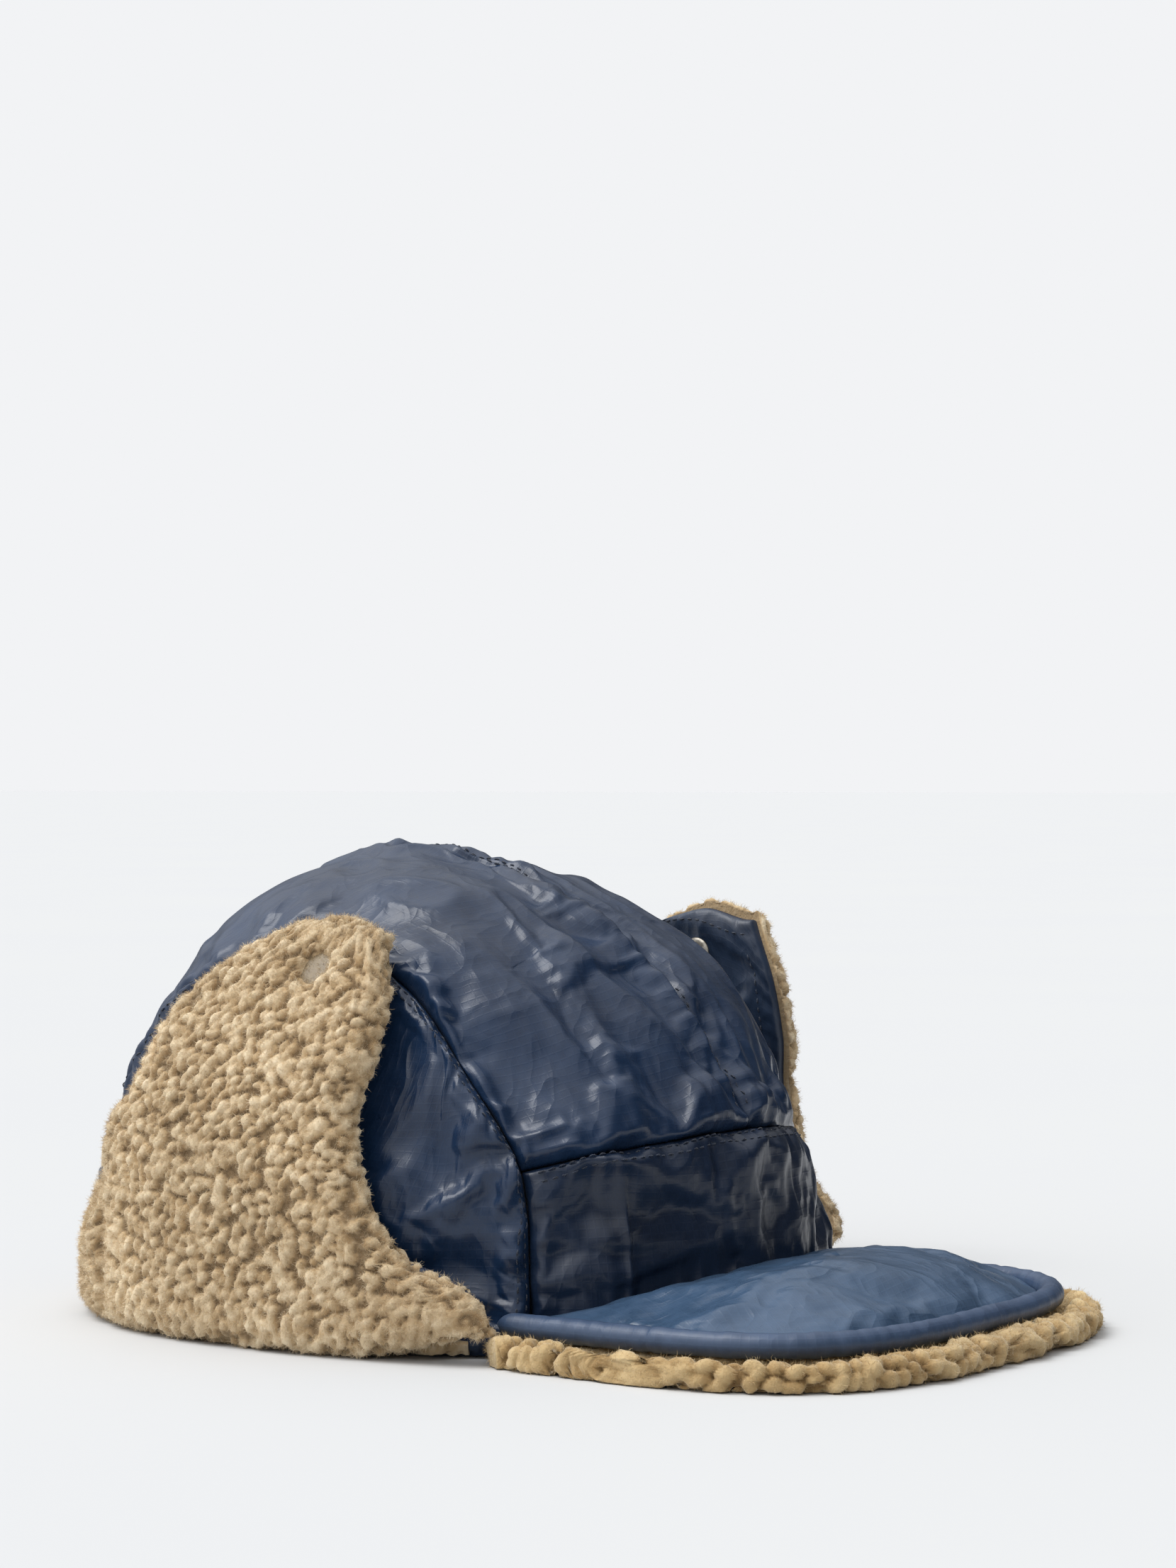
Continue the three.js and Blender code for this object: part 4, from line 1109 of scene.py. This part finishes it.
def fuzz_piece(name, body, material, grids, count, seed):
    """Loose curved fibres that stand out of tufted grids, given as (points, guide, tuft values)."""
    random = np.random.default_rng(seed)
    vertices, values = [], []
    total = sum(g[0].shape[0] * g[0].shape[1] for g in grids)
    for points, guide, tuft in grids:
        surface = outward_normals(points, guide)
        share = int(count * points.shape[0] * points.shape[1] / total)
        areas = np.linalg.norm(
            np.cross(points[1:, :-1] - points[:-1, :-1], points[:-1, 1:] - points[:-1, :-1]), axis=-1
        )
        weight = (areas * (0.35 + tuft[:-1, :-1])).ravel()
        cell = random.choice(weight.size, share, p=weight / weight.sum())
        row, column = np.divmod(cell, points.shape[1] - 1)
        a, b = random.random((2, share, 1))
        root = (
            points[row, column] * (1 - a) * (1 - b)
            + points[row, column + 1] * a * (1 - b)
            + points[row + 1, column] * (1 - a) * b
            + points[row + 1, column + 1] * a * b
        )
        out = surface[row, column]
        stray = random.normal(size=(share, 3))
        way = unit(out + 0.75 * unit(stray - dot(stray, out)[:, None] * out))
        turn = unit(way + 0.9 * random.normal(size=(share, 3)) * 0.6)
        size = random.uniform(*FUZZ_LENGTH, size=(share, 1))
        side = unit(np.cross(way, random.normal(size=(share, 3)))) * FUZZ_WIDTH / 2
        root = root - out * FUZZ_ROOT
        middle = root + way * size * 0.55
        tip = middle + turn * size * 0.45
        thin = side * 0.8
        vertices.append(np.stack([root - side, root + side, middle + thin, middle - thin, tip], 1))
        # Each fibre takes its root's tuft value, so the sherpa's painted groove shade and crown highlight carry
        # onto the fibres.
        values.append(np.repeat(np.clip(tuft[row, column] + 0.15, 0, 1), 5))
    vertices, values = np.concatenate(vertices), np.concatenate(values)
    first = np.arange(len(vertices)) * 5
    faces = [(k, k + 1, k + 2, k + 3) for k in first] + [(k + 3, k + 2, k + 4) for k in first]
    vertices = vertices.reshape(-1, 3)
    vertices[:, 2] = np.maximum(vertices[:, 2], 0.1 * MM)
    piece = make_mesh(name, vertices, faces, values={"tuft": values, "mark": values})
    return finish(piece, body, material)


# ---- Ear flaps and neck flap ----
TRACE_Z = np.arange(0, CROWN_HEIGHT - 5.5 * MM, 0.5 * MM)
TRACE = np.stack([oval_at(TRACE_Z)[0], TRACE_Z], -1)
TRACE_RUN = run_along(TRACE)
TRACE_WAY = unit(np.gradient(TRACE, axis=0))
FLAT_SHARE, FLAT_START, FLAT_OVER, FLAT_RISE, FLAT_TOP = 0.75, 20 * MM, 60 * MM, 25 * MM, 116 * MM
TRACE_BATCH = 4000


def flap_name(side, part=""):
    """The name of a flap's body, node or piece, such as neck_flap_shell or ear_flap_shell_left."""
    kind, end = ("neck_flap", "") if side == "neck" else ("ear_flap", "_" + side)
    return kind + ("_" + part if part else "") + end


def unrolled(points):
    """Where points of the left flap go when it is unrolled from the crown, then leans out from its fold."""
    flat = points.reshape(-1, 3)
    xz = flat[:, [0, 2]]
    nearest = np.empty(len(flat), int)
    for start in range(0, len(flat), TRACE_BATCH):
        batch = slice(start, start + TRACE_BATCH)
        nearest[batch] = np.linalg.norm(xz[batch, None] - TRACE[None], axis=-1).argmin(1)
    way, offset = TRACE_WAY[nearest], xz - TRACE[nearest]
    run = TRACE_RUN[nearest] + dot(offset, way)
    out = offset[:, 0] * way[:, 1] - offset[:, 1] * way[:, 0]
    level = np.minimum(flat[:, 2], FLAT_TOP)
    hollow = -right_point(flat[:, 1], level)[:, 0] - oval_at(level)[0]
    share = FLAT_SHARE * smooth((FLAT_START - flat[:, 1]) / FLAT_OVER) * smooth(run / FLAT_RISE)
    x, z = CROWN_HALF_WIDTH + out - share * hollow - HINGE_X, run - HINGE_Z
    c, s = math.cos(LEFT_LEAN), math.sin(LEFT_LEAN)
    leaning = np.stack([HINGE_X + x * c + z * s, flat[:, 1], HINGE_Z - x * s + z * c], -1)
    return leaning.reshape(points.shape)


def placed(side, points, directions=None):
    """Right-hand points, and directions at them, as they lie on a side's flap."""
    if side != "left":
        return points if directions is None else (points, directions)
    moved = unrolled(flip_x(points))
    if directions is None:
        return moved
    step = 1.0 * MM
    return moved, unit(unrolled(flip_x(points + directions * step)) - moved)


PILE_BACK, PILE_FRONT = 6.6 * MM, 13.6 * MM
NECK_PILE_FRONT, NECK_LOW = 10.6 * MM, 0.16
SHELL_BACK = 7.4 * MM
FLAP_FLEECE_CELLS = {"ear": (150, 150), "neck": (290, 74)}
FLAP_RADII = {
    "ear": {"left": 7 * MM, "top": 7 * MM, "right": 9 * MM, "bottom": 8 * MM},
    "neck": {"left": 3 * MM, "right": 3 * MM, "top": 7 * MM, "bottom": 8 * MM},
}
HEM_DROP = {"ear": 4.4 * MM, "neck": 0.0}
PILE_FLOOR = 0.3 * MM
SNAP_HOLLOW, SNAP_HOLLOW_SLOPE, SNAP_HOLLOW_DEPTH = 3.4 * MM, 3.0 * MM, 2.6 * MM
SHELL_CELLS = {"ear": (64, 62), "neck": (116, 30)}
SHELL_RANGES = {"ear": ((0.018, 0.985), (0.0, 0.984)), "neck": ((0.01, 0.99), (0.0, 0.8))}
SHELL_SHARE = 0.96
SHELL_PUCKER = 0.5 * MM


def spread(surface, v, side, share):
    """Lets an ear flap's cloth stand out past its front and top edges, with its lower front tip turned up."""
    lengths = grid_lengths(surface)
    ahead, above = unit(np.gradient(surface, axis=1)), unit(np.gradient(surface, axis=0))
    front = 1 - smooth(lengths["left"] / FRONT_REACH)
    crest = 1 - smooth(lengths["top"] / CREST_REACH)
    corner = np.hypot(lengths["left"], lengths["bottom"])
    moved = surface + share * TIP_SHIFT[side] * (1 - smooth(corner / TIP_REACH))[..., None]
    out_front = FLAP_PROUD[side] * front * (0.35 + 0.65 * smooth((v - 0.2) * 3))
    flare = FLAP_FLARE[side] * (1 - smooth(lengths["left"] / FLARE_REACH))
    flare = flare * smooth(v * 6) * smooth((1.0 - v) * 1.9)
    away = flare[..., None] * np.array([-1.0, -0.25, 0])
    moved = moved - share * ahead * out_front[..., None]
    return moved + share * above * (FLAP_CREST * crest)[..., None] + share * away


def flap_fleece(kind, side, seed):
    """The sherpa side of a flap, which faces out while the flap is folded up."""
    u, v = np.meshgrid(*(cluster(cells) for cells in FLAP_FLEECE_CELLS[kind]))
    reach = v if kind == "ear" else v * (1 - NECK_LOW * np.sin(math.pi * u) ** 0.6)
    surface = to_dome(coons(PATCHES[kind], u, reach))
    out = dome_normal(surface)
    drop = HEM_DROP[kind] * (1 - smooth(v * 6))
    surface = surface - np.array([0, 0, 1.0]) * drop[..., None]
    if kind == "ear":
        surface = spread(surface, v, side, 1.0)
    lengths = grid_lengths(surface)
    roll = rolled(lengths, FLAP_RADII[kind])
    if kind == "ear":
        from_snap = np.linalg.norm(surface[..., 1:] - np.array([SNAP_Y, SNAP_Z]), axis=-1)
        hollow = 1 - smooth((from_snap - SNAP_HOLLOW) / SNAP_HOLLOW_SLOPE)
        height = mix(PILE_BACK, PILE_FRONT, roll) - SNAP_HOLLOW_DEPTH * hollow
        scale = 1 - 0.9 * hollow
    else:
        from_split = np.minimum(lengths["left"], lengths["right"])
        full = mix(PILE_FRONT, NECK_PILE_FRONT, smooth(from_split / (50 * MM)))
        height = mix(4.0 * MM, full, roll * smooth(lengths["top"] / (30 * MM)))
        scale = 1.0
    base, way = placed(side, surface + out * height[..., None], out)
    back = placed(side, surface + out * PILE_BACK)
    tufted, tuft, mark = pile_slab(base, way, TUFT_SIZE, TUFT_HEIGHT, seed, PILE_FLOOR, scale=scale)
    name, body = flap_name(side, "pile"), flap_name(side)
    piece = pile_piece(name, body, tufted, back, tuft, mark, way)
    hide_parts(flap_name(side, "fleece"))
    fuzz_piece(name + "_fuzz", body, FLEECE, [(tufted, way, tuft)], FLAP_FUZZ_COUNT, seed)


def flap_shell(kind, side, seed):
    """The nylon side of a flap, which faces the crown while the flap is folded up."""
    ranges = SHELL_RANGES[kind]
    points, out = patch_grid(kind, SHELL_CELLS[kind], *ranges)
    if kind == "ear":
        points = spread(points, np.linspace(*ranges[1], len(points))[:, None], side, SHELL_SHARE)
    back = placed(side, points + out * SHELL_BACK)
    faced, out = placed(side, points + out * SHELL_IN, out)
    d = edge_distance(faced)
    sheet = Sheet(faced, -out, pinned(d))
    depth = -1.3 * MM * (1 - swell(d, 9 * MM)) - 0.1 * MM
    gathers = puckers(sheet.points, seed, SHELL_PUCKER)
    sheet.start = sheet.rise_from(depth + np.minimum(gathers, SHELL_PUCKER))
    sheet.back = back
    return sheet


flap_sheets = {}
for side, shell_seed, fleece_seed in (("right", 41, 51), ("left", 42, 52), ("neck", 43, 53)):
    kind = "neck" if side == "neck" else "ear"
    flap_sheets[side] = flap_shell(kind, side, shell_seed)
    flap_fleece(kind, side, fleece_seed)


# ---- Visor ----
VISOR_RIM, VISOR_CREST, VISOR_ROOT_DIP = 8 * MM, 14 * MM, 3.5 * MM
VISOR_PILE, PILE_TO_BOARD, BOARD_THICK, PAD_EDGE, PAD_CROWN = 5 * MM, 0.5 * MM, 1.4 * MM, 0.8 * MM, 5 * MM
PIPING_INSET, PIPING_RADIUS = 11 * MM, 3.6 * MM
VISOR_PROUD = 7 * MM
COVER_INSET = 13.2 * MM


def visor_share(x, y):
    side = x / (VISOR_HALF_WIDTH - VISOR_RIM)
    ahead = np.maximum(0, -y - VISOR_SIDE_FRONT) / (VISOR_TIP - VISOR_RIM - VISOR_SIDE_FRONT)
    return np.clip((np.abs(side) ** VISOR_POWER + ahead**VISOR_POWER) ** (1 / VISOR_POWER), 0, 1)


def visor_under(x, y):
    dip = VISOR_ROOT_DIP * (1 - smooth((-y - CROWN_FRONT) / (30 * MM)))
    return 0.4 * MM + (1 - visor_share(x, y) ** 2) * (VISOR_CREST - dip)


def visor_top(x, y):
    pad = PAD_EDGE + PAD_CROWN * (1 - visor_share(x, y) ** 3)
    return visor_under(x, y) + VISOR_PILE + 3 * PILE_TO_BOARD + BOARD_THICK + pad


def visor_front(u, inset):
    turn = math.pi * np.asarray(u)
    power = 2 / VISOR_POWER
    x = -np.sign(np.cos(turn)) * np.abs(np.cos(turn)) ** power * (VISOR_HALF_WIDTH - inset)
    y = -VISOR_SIDE_FRONT - (VISOR_TIP - VISOR_SIDE_FRONT - inset) * np.abs(np.sin(turn)) ** power
    return np.stack([x, y, 0 * x], -1)


def visor_root(inset, gap):
    half_angle = 47 - 310 * inset
    on_crown = around_point(np.linspace(half_angle, -half_angle, 9), 0.0)
    arc = on_crown + dome_normal(on_crown) * gap
    side = VISOR_HALF_WIDTH - inset
    slack = side + arc[0, 0]
    ahead = [mix(-VISOR_SIDE_BACK, arc[0, 1], s) for s in (0.5, 0.9)]
    corner = np.array(
        [
            [-side, -VISOR_SIDE_BACK, 0],
            [-side + 0.2 * slack, ahead[0], 0],
            [-side + 0.55 * slack, ahead[1], 0],
        ]
    )
    knots = np.concatenate([corner, arc, flip_x(corner)[::-1]])
    return lambda u: catmull(knots, u) * np.array([1, 1, 0])


def visor_plan(inset, gap, u, v):
    side = VISOR_HALF_WIDTH - inset

    def side_edge(x):
        return lambda share: np.stack(
            np.broadcast_arrays(x, -mix(VISOR_SIDE_BACK, VISOR_SIDE_FRONT, np.asarray(share)), 0.0), -1
        )

    edges = {
        "bottom": visor_root(inset, gap),
        "top": lambda share: visor_front(share, inset),
        "left": side_edge(-side),
        "right": side_edge(side),
    }
    return coons(edges, *np.meshgrid(u, v))


UP = np.array([0, 0, 1.0])
cover_plan = visor_plan(COVER_INSET, 0.2 * MM, np.linspace(0, 1, 93), np.linspace(0, 1, 47))
cover_points = cover_plan + UP * visor_top(cover_plan[..., 0], cover_plan[..., 1])[..., None]
cover_normals = outward_normals(cover_points, UP)
cover_distance = edge_distance(cover_points)
visor_sheet = Sheet(cover_points, cover_normals, pinned(cover_distance))
cover_depth = -2.6 * MM * (1 - swell(cover_distance, 11 * MM))
visor_sheet.start = visor_sheet.rise_from(cover_depth + puckers(cover_points, 61, 0.5 * MM))

swell_sheets([visor_sheet], 0.02, 2.5, -1.0 * MM, 2.2 * MM, 2.0 * MM, 0.4, 8)
swell_sheets(list(flap_sheets.values()), 0.035, 1.5, -1.4 * MM, 0.6 * MM, 2.0 * MM, 0.25, 9)


def flexing(piece):
    """Bakes the piece's placement into its mesh."""
    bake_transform(piece)


# Creases of the visor's cover: their way, size, stretch, height and seed.
COVER_CREASES = (
    ((0.75, -0.65, 0), 22 * MM, 3.5, 1.5 * MM, 71),
    ((0.3, -0.95, 0), 11 * MM, 2.6, 0.5 * MM, 72),
)
COVER_BACK = 7.0 * MM
inside = smooth(cover_distance / (14 * MM))
for way, size, stretch, height, seed in COVER_CREASES:
    lift = (creases(visor_sheet.points, way, size, stretch, seed) - 0.45) * height * inside
    visor_sheet.swollen = visor_sheet.swollen + cover_normals * lift[..., None]
cover_back = cover_plan + UP * (visor_under(cover_plan[..., 0], cover_plan[..., 1]) + COVER_BACK)[..., None]
covered = "visor_cover", "visor_padding"
# The visor's cover takes the lighter copy of the nylon, which is painted light.
flexing(shell_piece(visor_sheet, "visor_cover_padded", None, NYLON_VISOR_PAINTED_LIGHT, covered, back=cover_back))

BORDER_INSET = 5.5 * MM
for side, sheet in flap_sheets.items():
    body = flap_name(side)
    inside = smooth(edge_distance(sheet.points) / (10 * MM))
    lift = (creases(sheet.points, (0.1, -0.4, 0.9), 11 * MM, 2.6, 81) - 0.6) * 0.9 * MM * inside
    sheet.swollen = sheet.swollen + sheet.normals * np.minimum(lift, 0.4 * MM)[..., None]
    replaced = flap_name(side, "shell"), flap_name(side, "wadding")
    shell_piece(sheet, flap_name(side, "lined"), body, NYLON_INNER, replaced, back=sheet.back)
    border = [line_inside(sheet, edge, BORDER_INSET, 4) for edge in ("left", "top")]
    stitch_piece(flap_name(side, "stitching"), body, border)

# The pile under the visor, which stands out past the piping all round.
visor_u, visor_v = cluster(210, 0.05, 8), cluster(112, 0.05, 8, (False, True))
pile_plan = visor_plan(-1.5 * MM, 0.6 * MM, visor_u, visor_v)
lengths = grid_lengths(pile_plan)
roll = rolled(lengths, {"left": 4 * MM, "right": 4 * MM, "top": 4 * MM})
from_rim = np.minimum.reduce([lengths[e] for e in ("left", "right", "top")])
under = visor_under(pile_plan[..., 0], pile_plan[..., 1])
# The pile is full and rounded within VISOR_PROUD of its rim, and thin between there and the crown.
proud = 1 - past(from_rim, VISOR_PROUD, 4 * MM)
pile_middle, pile_half = under + 3.6 * MM, mix(1.2 * MM, 3.4 * MM, proud)
visor_grids = []
for sign in (1, -1):
    base = pile_plan + UP * (pile_middle + sign * pile_half * roll)[..., None]
    scale = np.maximum(proud, 0.3 if sign > 0 else 0.75)
    rim = RIM_TUFT_SIZE, RIM_TUFT_HEIGHT, 91, 0.25 * MM
    points, tuft, mark = pile_slab(base, UP * sign, *rim, scale=scale)
    visor_grids.append((points, UP * sign, tuft, mark))
top, low = visor_grids
edge_mask = np.ones(top[0].shape[:2], bool)
edge_mask[1:-1, 1:-1] = False
low[0][edge_mask] = top[0][edge_mask] - UP * 0.05 * MM
shades = {"tuft": (top[2], low[2]), "mark": (top[3], low[3])}
pile = closed_shell("visor_pile", top[0], low[0], cloth_uv(pile_plan), shades)
# The visor's pile takes the darker copy of the sherpa, which is painted shade.
finish(pile, None, FLEECE_VISOR_PAINTED_SHADE)
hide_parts("visor_fleece")
flexing(pile)
fuzz_grids = [(g[0], g[1] + 0 * g[0], g[2]) for g in visor_grids]
flexing(fuzz_piece("visor_pile_fuzz", None, FLEECE_VISOR_PAINTED_SHADE, fuzz_grids, VISOR_FUZZ_COUNT, 92))


# ---- Piping: a fabric tube round a cord, gathered a little where it turns ----
PIPING_WRINKLE, PIPING_SIDES = 0.22 * MM, 20


def tube(path, radius, sides, seed):
    tangent = unit(np.gradient(path, axis=0))
    side = unit(np.cross(tangent, UP))
    lift = np.cross(side, tangent)
    reach, angle = run_along(path), ring_angles(sides)
    ring = np.cos(angle)[:, None] * side[:, None] + np.sin(angle)[:, None] * lift[:, None]
    place = np.stack(
        np.broadcast_arrays(reach[:, None], 2.5 * MM * np.cos(angle), 2.5 * MM * np.sin(angle)), -1
    )
    gather = value_noise(place * np.array([1, 0.4, 0.4]), 2.6 * MM, seed) * PIPING_WRINKLE
    ends = np.sqrt(np.clip(np.minimum(reach, reach[-1] - reach) / (5 * MM), 0.04, 1))[:, None]
    points = path[:, None] + ring * (radius * ends + gather)[..., None]
    shape = points.shape[:2]
    uv = np.stack([np.broadcast_to(reach[:, None], shape), np.broadcast_to(angle * radius, shape)], -1)
    return points, round_faces(*shape), uv


side = VISOR_HALF_WIDTH - PIPING_INSET
back = MM * np.array([[-side / MM, -76, 0], [-side / MM, -97, 0]])
knots = np.concatenate([back, visor_front(np.linspace(0, 1, 25), PIPING_INSET), flip_x(back)[::-1]])
path = catmull(knots, np.linspace(0, 1, 520))
path[:, 2] = visor_under(path[:, 0], path[:, 1]) + VISOR_PILE + 2 * PILE_TO_BOARD + PIPING_RADIUS
points, faces, uv = tube(path, PIPING_RADIUS, PIPING_SIDES, 95)
piping = finish(make_mesh("piping_sewn", points, faces, uv), None, PIPING)
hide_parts("piping_cover", "piping_cord")
flexing(piping)


# ---- Lining ----
LINING_BACK, LINING_EDGE, LINING_FACE = 7 * MM, 8 * MM, 12.2 * MM
LINING_TUFT_SIZE, LINING_TUFT_HEIGHT = 3.2 * MM, 2.4 * MM
SEAM_ROLL, HEM_ROLL = 1.6 * MM, 4.5 * MM


def lining_piece(name, patch, cells, replaced, seed, mirror=False):
    points, out = patch_grid(patch, cells)
    if mirror:
        points, out = flip_x(points)[:, ::-1], flip_x(out)[:, ::-1]
    radii = {"left": SEAM_ROLL, "right": SEAM_ROLL, "bottom": HEM_ROLL}
    radii["top"] = HEM_ROLL if patch == "lining" else SEAM_ROLL
    roll = rolled(grid_lengths(points), radii)
    base = points - out * mix(LINING_EDGE, LINING_FACE, roll)[..., None]
    tufted, tuft, mark = pile_slab(
        base, -out, LINING_TUFT_SIZE, LINING_TUFT_HEIGHT, seed, PILE_FLOOR, sink=0.6
    )
    piece = pile_piece(name, "crown", tufted, points - out * LINING_BACK, tuft, mark, -out)
    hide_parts(*replaced)


lining_piece("lining_pile_centre", "lining", (120, 200), ("lining_centre",), 101)
lining_piece("lining_pile_right", "side", (110, 70), ("lining_side_right",), 102)
lining_piece("lining_pile_left", "side", (110, 70), ("lining_side_left",), 103, mirror=True)


# ---- Hem: the pile turned round the fold of each flap ----
HEM_INNER, HEM_OUTER, HEM_PROUD = -11.5 * MM, 1.0 * MM, 4.5 * MM
HEM_EDGE_Z, HEM_LOW_Z, HEM_TOP_Z = 4.2 * MM, 1.6 * MM, 5.0 * MM
HEM_TUFT_SIZE, HEM_TUFT_HEIGHT, HEM_ROWS = 3.0 * MM, 2.4 * MM, 26


def hem_piece(name, body, start_angle, end_angle, count, blend_ends, seed, mirror=False):
    flat = np.array([1, 1, 0])
    line = around_point(np.linspace(start_angle, end_angle, count), 0.5 * MM)
    out = unit(dome_normal(line) * flat)
    across = np.linspace(0, 1, HEM_ROWS)[:, None, None]
    roll = np.sqrt(np.clip(1 - (2 * across - 1) ** 6, 0, 1))
    ends = np.linspace(0, 1, count)
    taper = smooth(np.minimum(ends, 1 - ends) * 14)[None, :, None]
    plan = line[None] + out[None] * mix(HEM_INNER, HEM_OUTER + HEM_PROUD * taper, across)
    low = plan * flat + UP * mix(HEM_EDGE_Z, HEM_LOW_Z, roll)
    high = plan * flat + UP * HEM_TOP_Z
    if mirror:
        low, high = flip_x(low)[:, ::-1], flip_x(high)[:, ::-1]
    tufted, tuft, mark = pile_slab(low, -UP, HEM_TUFT_SIZE, HEM_TUFT_HEIGHT, seed, 0.25 * MM)
    piece = pile_piece(name, None, tufted, high, tuft, mark, -UP + 0 * tufted)
    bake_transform(piece)


FRONT_OF_FLAP = angle_of(right_point(np.array(FLAP_FRONT_Y), 0.0))
EAR_HEM = FRONT_OF_FLAP, SPLIT_ANGLE, 130
hem_piece("hem_pile_right", "ear_flap_right", *EAR_HEM, ((-0.088, 0, 0), (-0.101, 0, 0)), 111)
hem_piece("hem_pile_left", "ear_flap_left", *EAR_HEM, ((0.088, 0, 0), (0.101, 0, 0)), 112, True)
hem_piece(
    "hem_pile_back", "neck_flap", SPLIT_ANGLE, 360 - SPLIT_ANGLE, 190, ((0, 0.094, 0), (0, 0.108, 0)), 113
)


# ---- Snaps ----
SNAP_SIDES = 48


def lathe(name, place, axis, profile, body, material, slot, replaced):
    """A turned piece. The profile is (radius, distance along axis) in millimetres."""
    axis = unit(np.asarray(axis, float))
    helper = np.array([0, 1.0, 0]) if abs(axis[1]) < 0.9 else np.array([1.0, 0, 0])
    a = unit(np.cross(axis, helper))
    b = np.cross(axis, a)
    angle = ring_angles(SNAP_SIDES)
    ring = np.cos(angle)[:, None] * a + np.sin(angle)[:, None] * b
    rows = [place + ring * r * MM + axis * h * MM for r, h in profile]
    piece = make_mesh(name, np.concatenate(rows), round_faces(len(rows), SNAP_SIDES, flipped=True))
    finish(piece, body, material)
    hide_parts(replaced)
    return piece


snap_base = right_point(np.array(SNAP_Y), np.array(SNAP_Z))
snap_out = dome_normal(snap_base)
CAP_PROFILE = [
    (6.4, -0.9), (7.1, -0.7), (7.35, -0.2), (7.2, 0.25), (6.6, 0.6), (5.6, 0.82), (4.2, 0.98), (2.4, 1.06),
    (0.6, 1.1),
]
SOCKET_PROFILE = [
    (0.5, -1.1), (2.2, -1.1), (2.5, -0.5), (3.1, 0.1), (3.9, 0.3), (4.9, 0.2), (5.7, -0.1), (5.95, -0.5),
    (5.6, -0.9), (5.2, -1.1),
]
STUD_PROFILE = [
    (5.3, -0.4), (5.5, -0.1), (5.2, 0.2), (4.1, 0.35), (2.6, 0.45), (2.3, 0.8), (2.9, 1.1), (3.2, 1.5),
    (2.8, 1.8), (1.6, 1.95), (0.4, 2.0),
]
SOCKET_RISE = 2.6 * MM
for side in ("right", "left"):
    (foot,), (axis,) = placed(side, snap_base[None], snap_out[None])
    cap, socket = foot + axis * CAP_RISE, foot + axis * SOCKET_RISE
    body, metal_look = "ear_flap_" + side, (STEEL, "snap_metal")
    lathe("cap_turned_" + side, cap, axis, CAP_PROFILE, body, CAP_WITH_PAINTED_SHADE, "snap_cap", "snap_cap_" + side)
    lathe("socket_turned_" + side, socket, -axis, SOCKET_PROFILE, body, *metal_look, "snap_socket_" + side)
    flip = np.array([1 if side == "right" else -1, 1, 1])
    stud = snap_base * flip, snap_out * flip
    lathe("stud_turned_" + side, *stud, STUD_PROFILE, "crown", *metal_look, "snap_stud_" + side)


# ---- Carried-over nodes ----
CARRIED = {
    "snap_socket_": STEEL, "snap_stud_": STEEL, "snap_rivet_": STEEL, "size_label": TAPE, "visor_board": BOARD
}
for name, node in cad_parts.items():
    for start, material in CARRIED.items():
        if name.startswith(start):
            for slot in node.material_slots:
                slot.material = material


# ---- Floor, light and camera ----
FLOOR_SIZE = 60.0
FLOOR_CORNERS = np.array([[-1, -1, 0], [1, -1, 0], [1, 1, 0], [-1, 1, 0]])
floor = make_mesh("floor", FLOOR_SIZE * FLOOR_CORNERS, [(0, 1, 2, 3)])
floor.data.materials.append(plain("pale floor", ("c9cacb", "cacbcb"), 1.0, 0.4, 0.0, Specular_IOR_Level=0.0))

KEY_WAY = unit(np.array([-0.42, 0.42, 1.1]))
WORLD_DIM, WORLD_BRIGHT, SUN_STRENGTH = 0.05, 1.6, 1.85
world = bpy.data.worlds.new("pale world")
bpy.context.scene.world = world
world.use_nodes = True
nodes, links = world.node_tree.nodes, world.node_tree.links
background = nodes["Background"]
background.inputs[0].default_value = linear("f2f3f5")
facing = nodes.new("ShaderNodeVectorMath")
facing.operation = "DOT_PRODUCT"
links.new(nodes.new("ShaderNodeTexCoord").outputs["Generated"], facing.inputs[0])
facing.inputs[1].default_value = KEY_WAY
shade = nodes.new("ShaderNodeMapRange")
shade.interpolation_type = "SMOOTHSTEP"
links.new(facing.outputs["Value"], shade.inputs["Value"])
for key, value in (("From Min", -0.1), ("From Max", 0.98), ("To Min", WORLD_DIM), ("To Max", WORLD_BRIGHT)):
    shade.inputs[key].default_value = value
seen = nodes.new("ShaderNodeMix")
links.new(nodes.new("ShaderNodeLightPath").outputs["Is Camera Ray"], seen.inputs[0])
links.new(shade.outputs[0], seen.inputs[2])
seen.inputs[3].default_value = 1.0
links.new(seen.outputs[0], background.inputs[1])


def place_object(name, data, way):
    """Puts a lamp or a camera into the scene, looking along a direction."""
    made = bpy.data.objects.new(name, data)
    made.rotation_euler = Vector([float(v) for v in way]).to_track_quat("-Z", "Y").to_euler()
    bpy.context.scene.collection.objects.link(made)
    return made


SUN_ANGLE = math.radians(38)
sun = bpy.data.lights.new("key", "SUN")
sun.energy, sun.angle = SUN_STRENGTH, SUN_ANGLE
place_object("key", sun, -KEY_WAY)

CAMERA_PLACE, CAMERA_WAY, CAMERA_LENS = (-0.895, -0.676, 0.163), (0.819, 0.574, 0.0), 82.1
camera_data = bpy.data.cameras.new("camera")
camera_data.sensor_fit, camera_data.sensor_height, camera_data.lens = "VERTICAL", 36, CAMERA_LENS
camera = place_object("camera", camera_data, CAMERA_WAY)
camera.location = CAMERA_PLACE
bpy.context.scene.camera = camera
bpy.context.scene.view_settings.view_transform = "Standard"
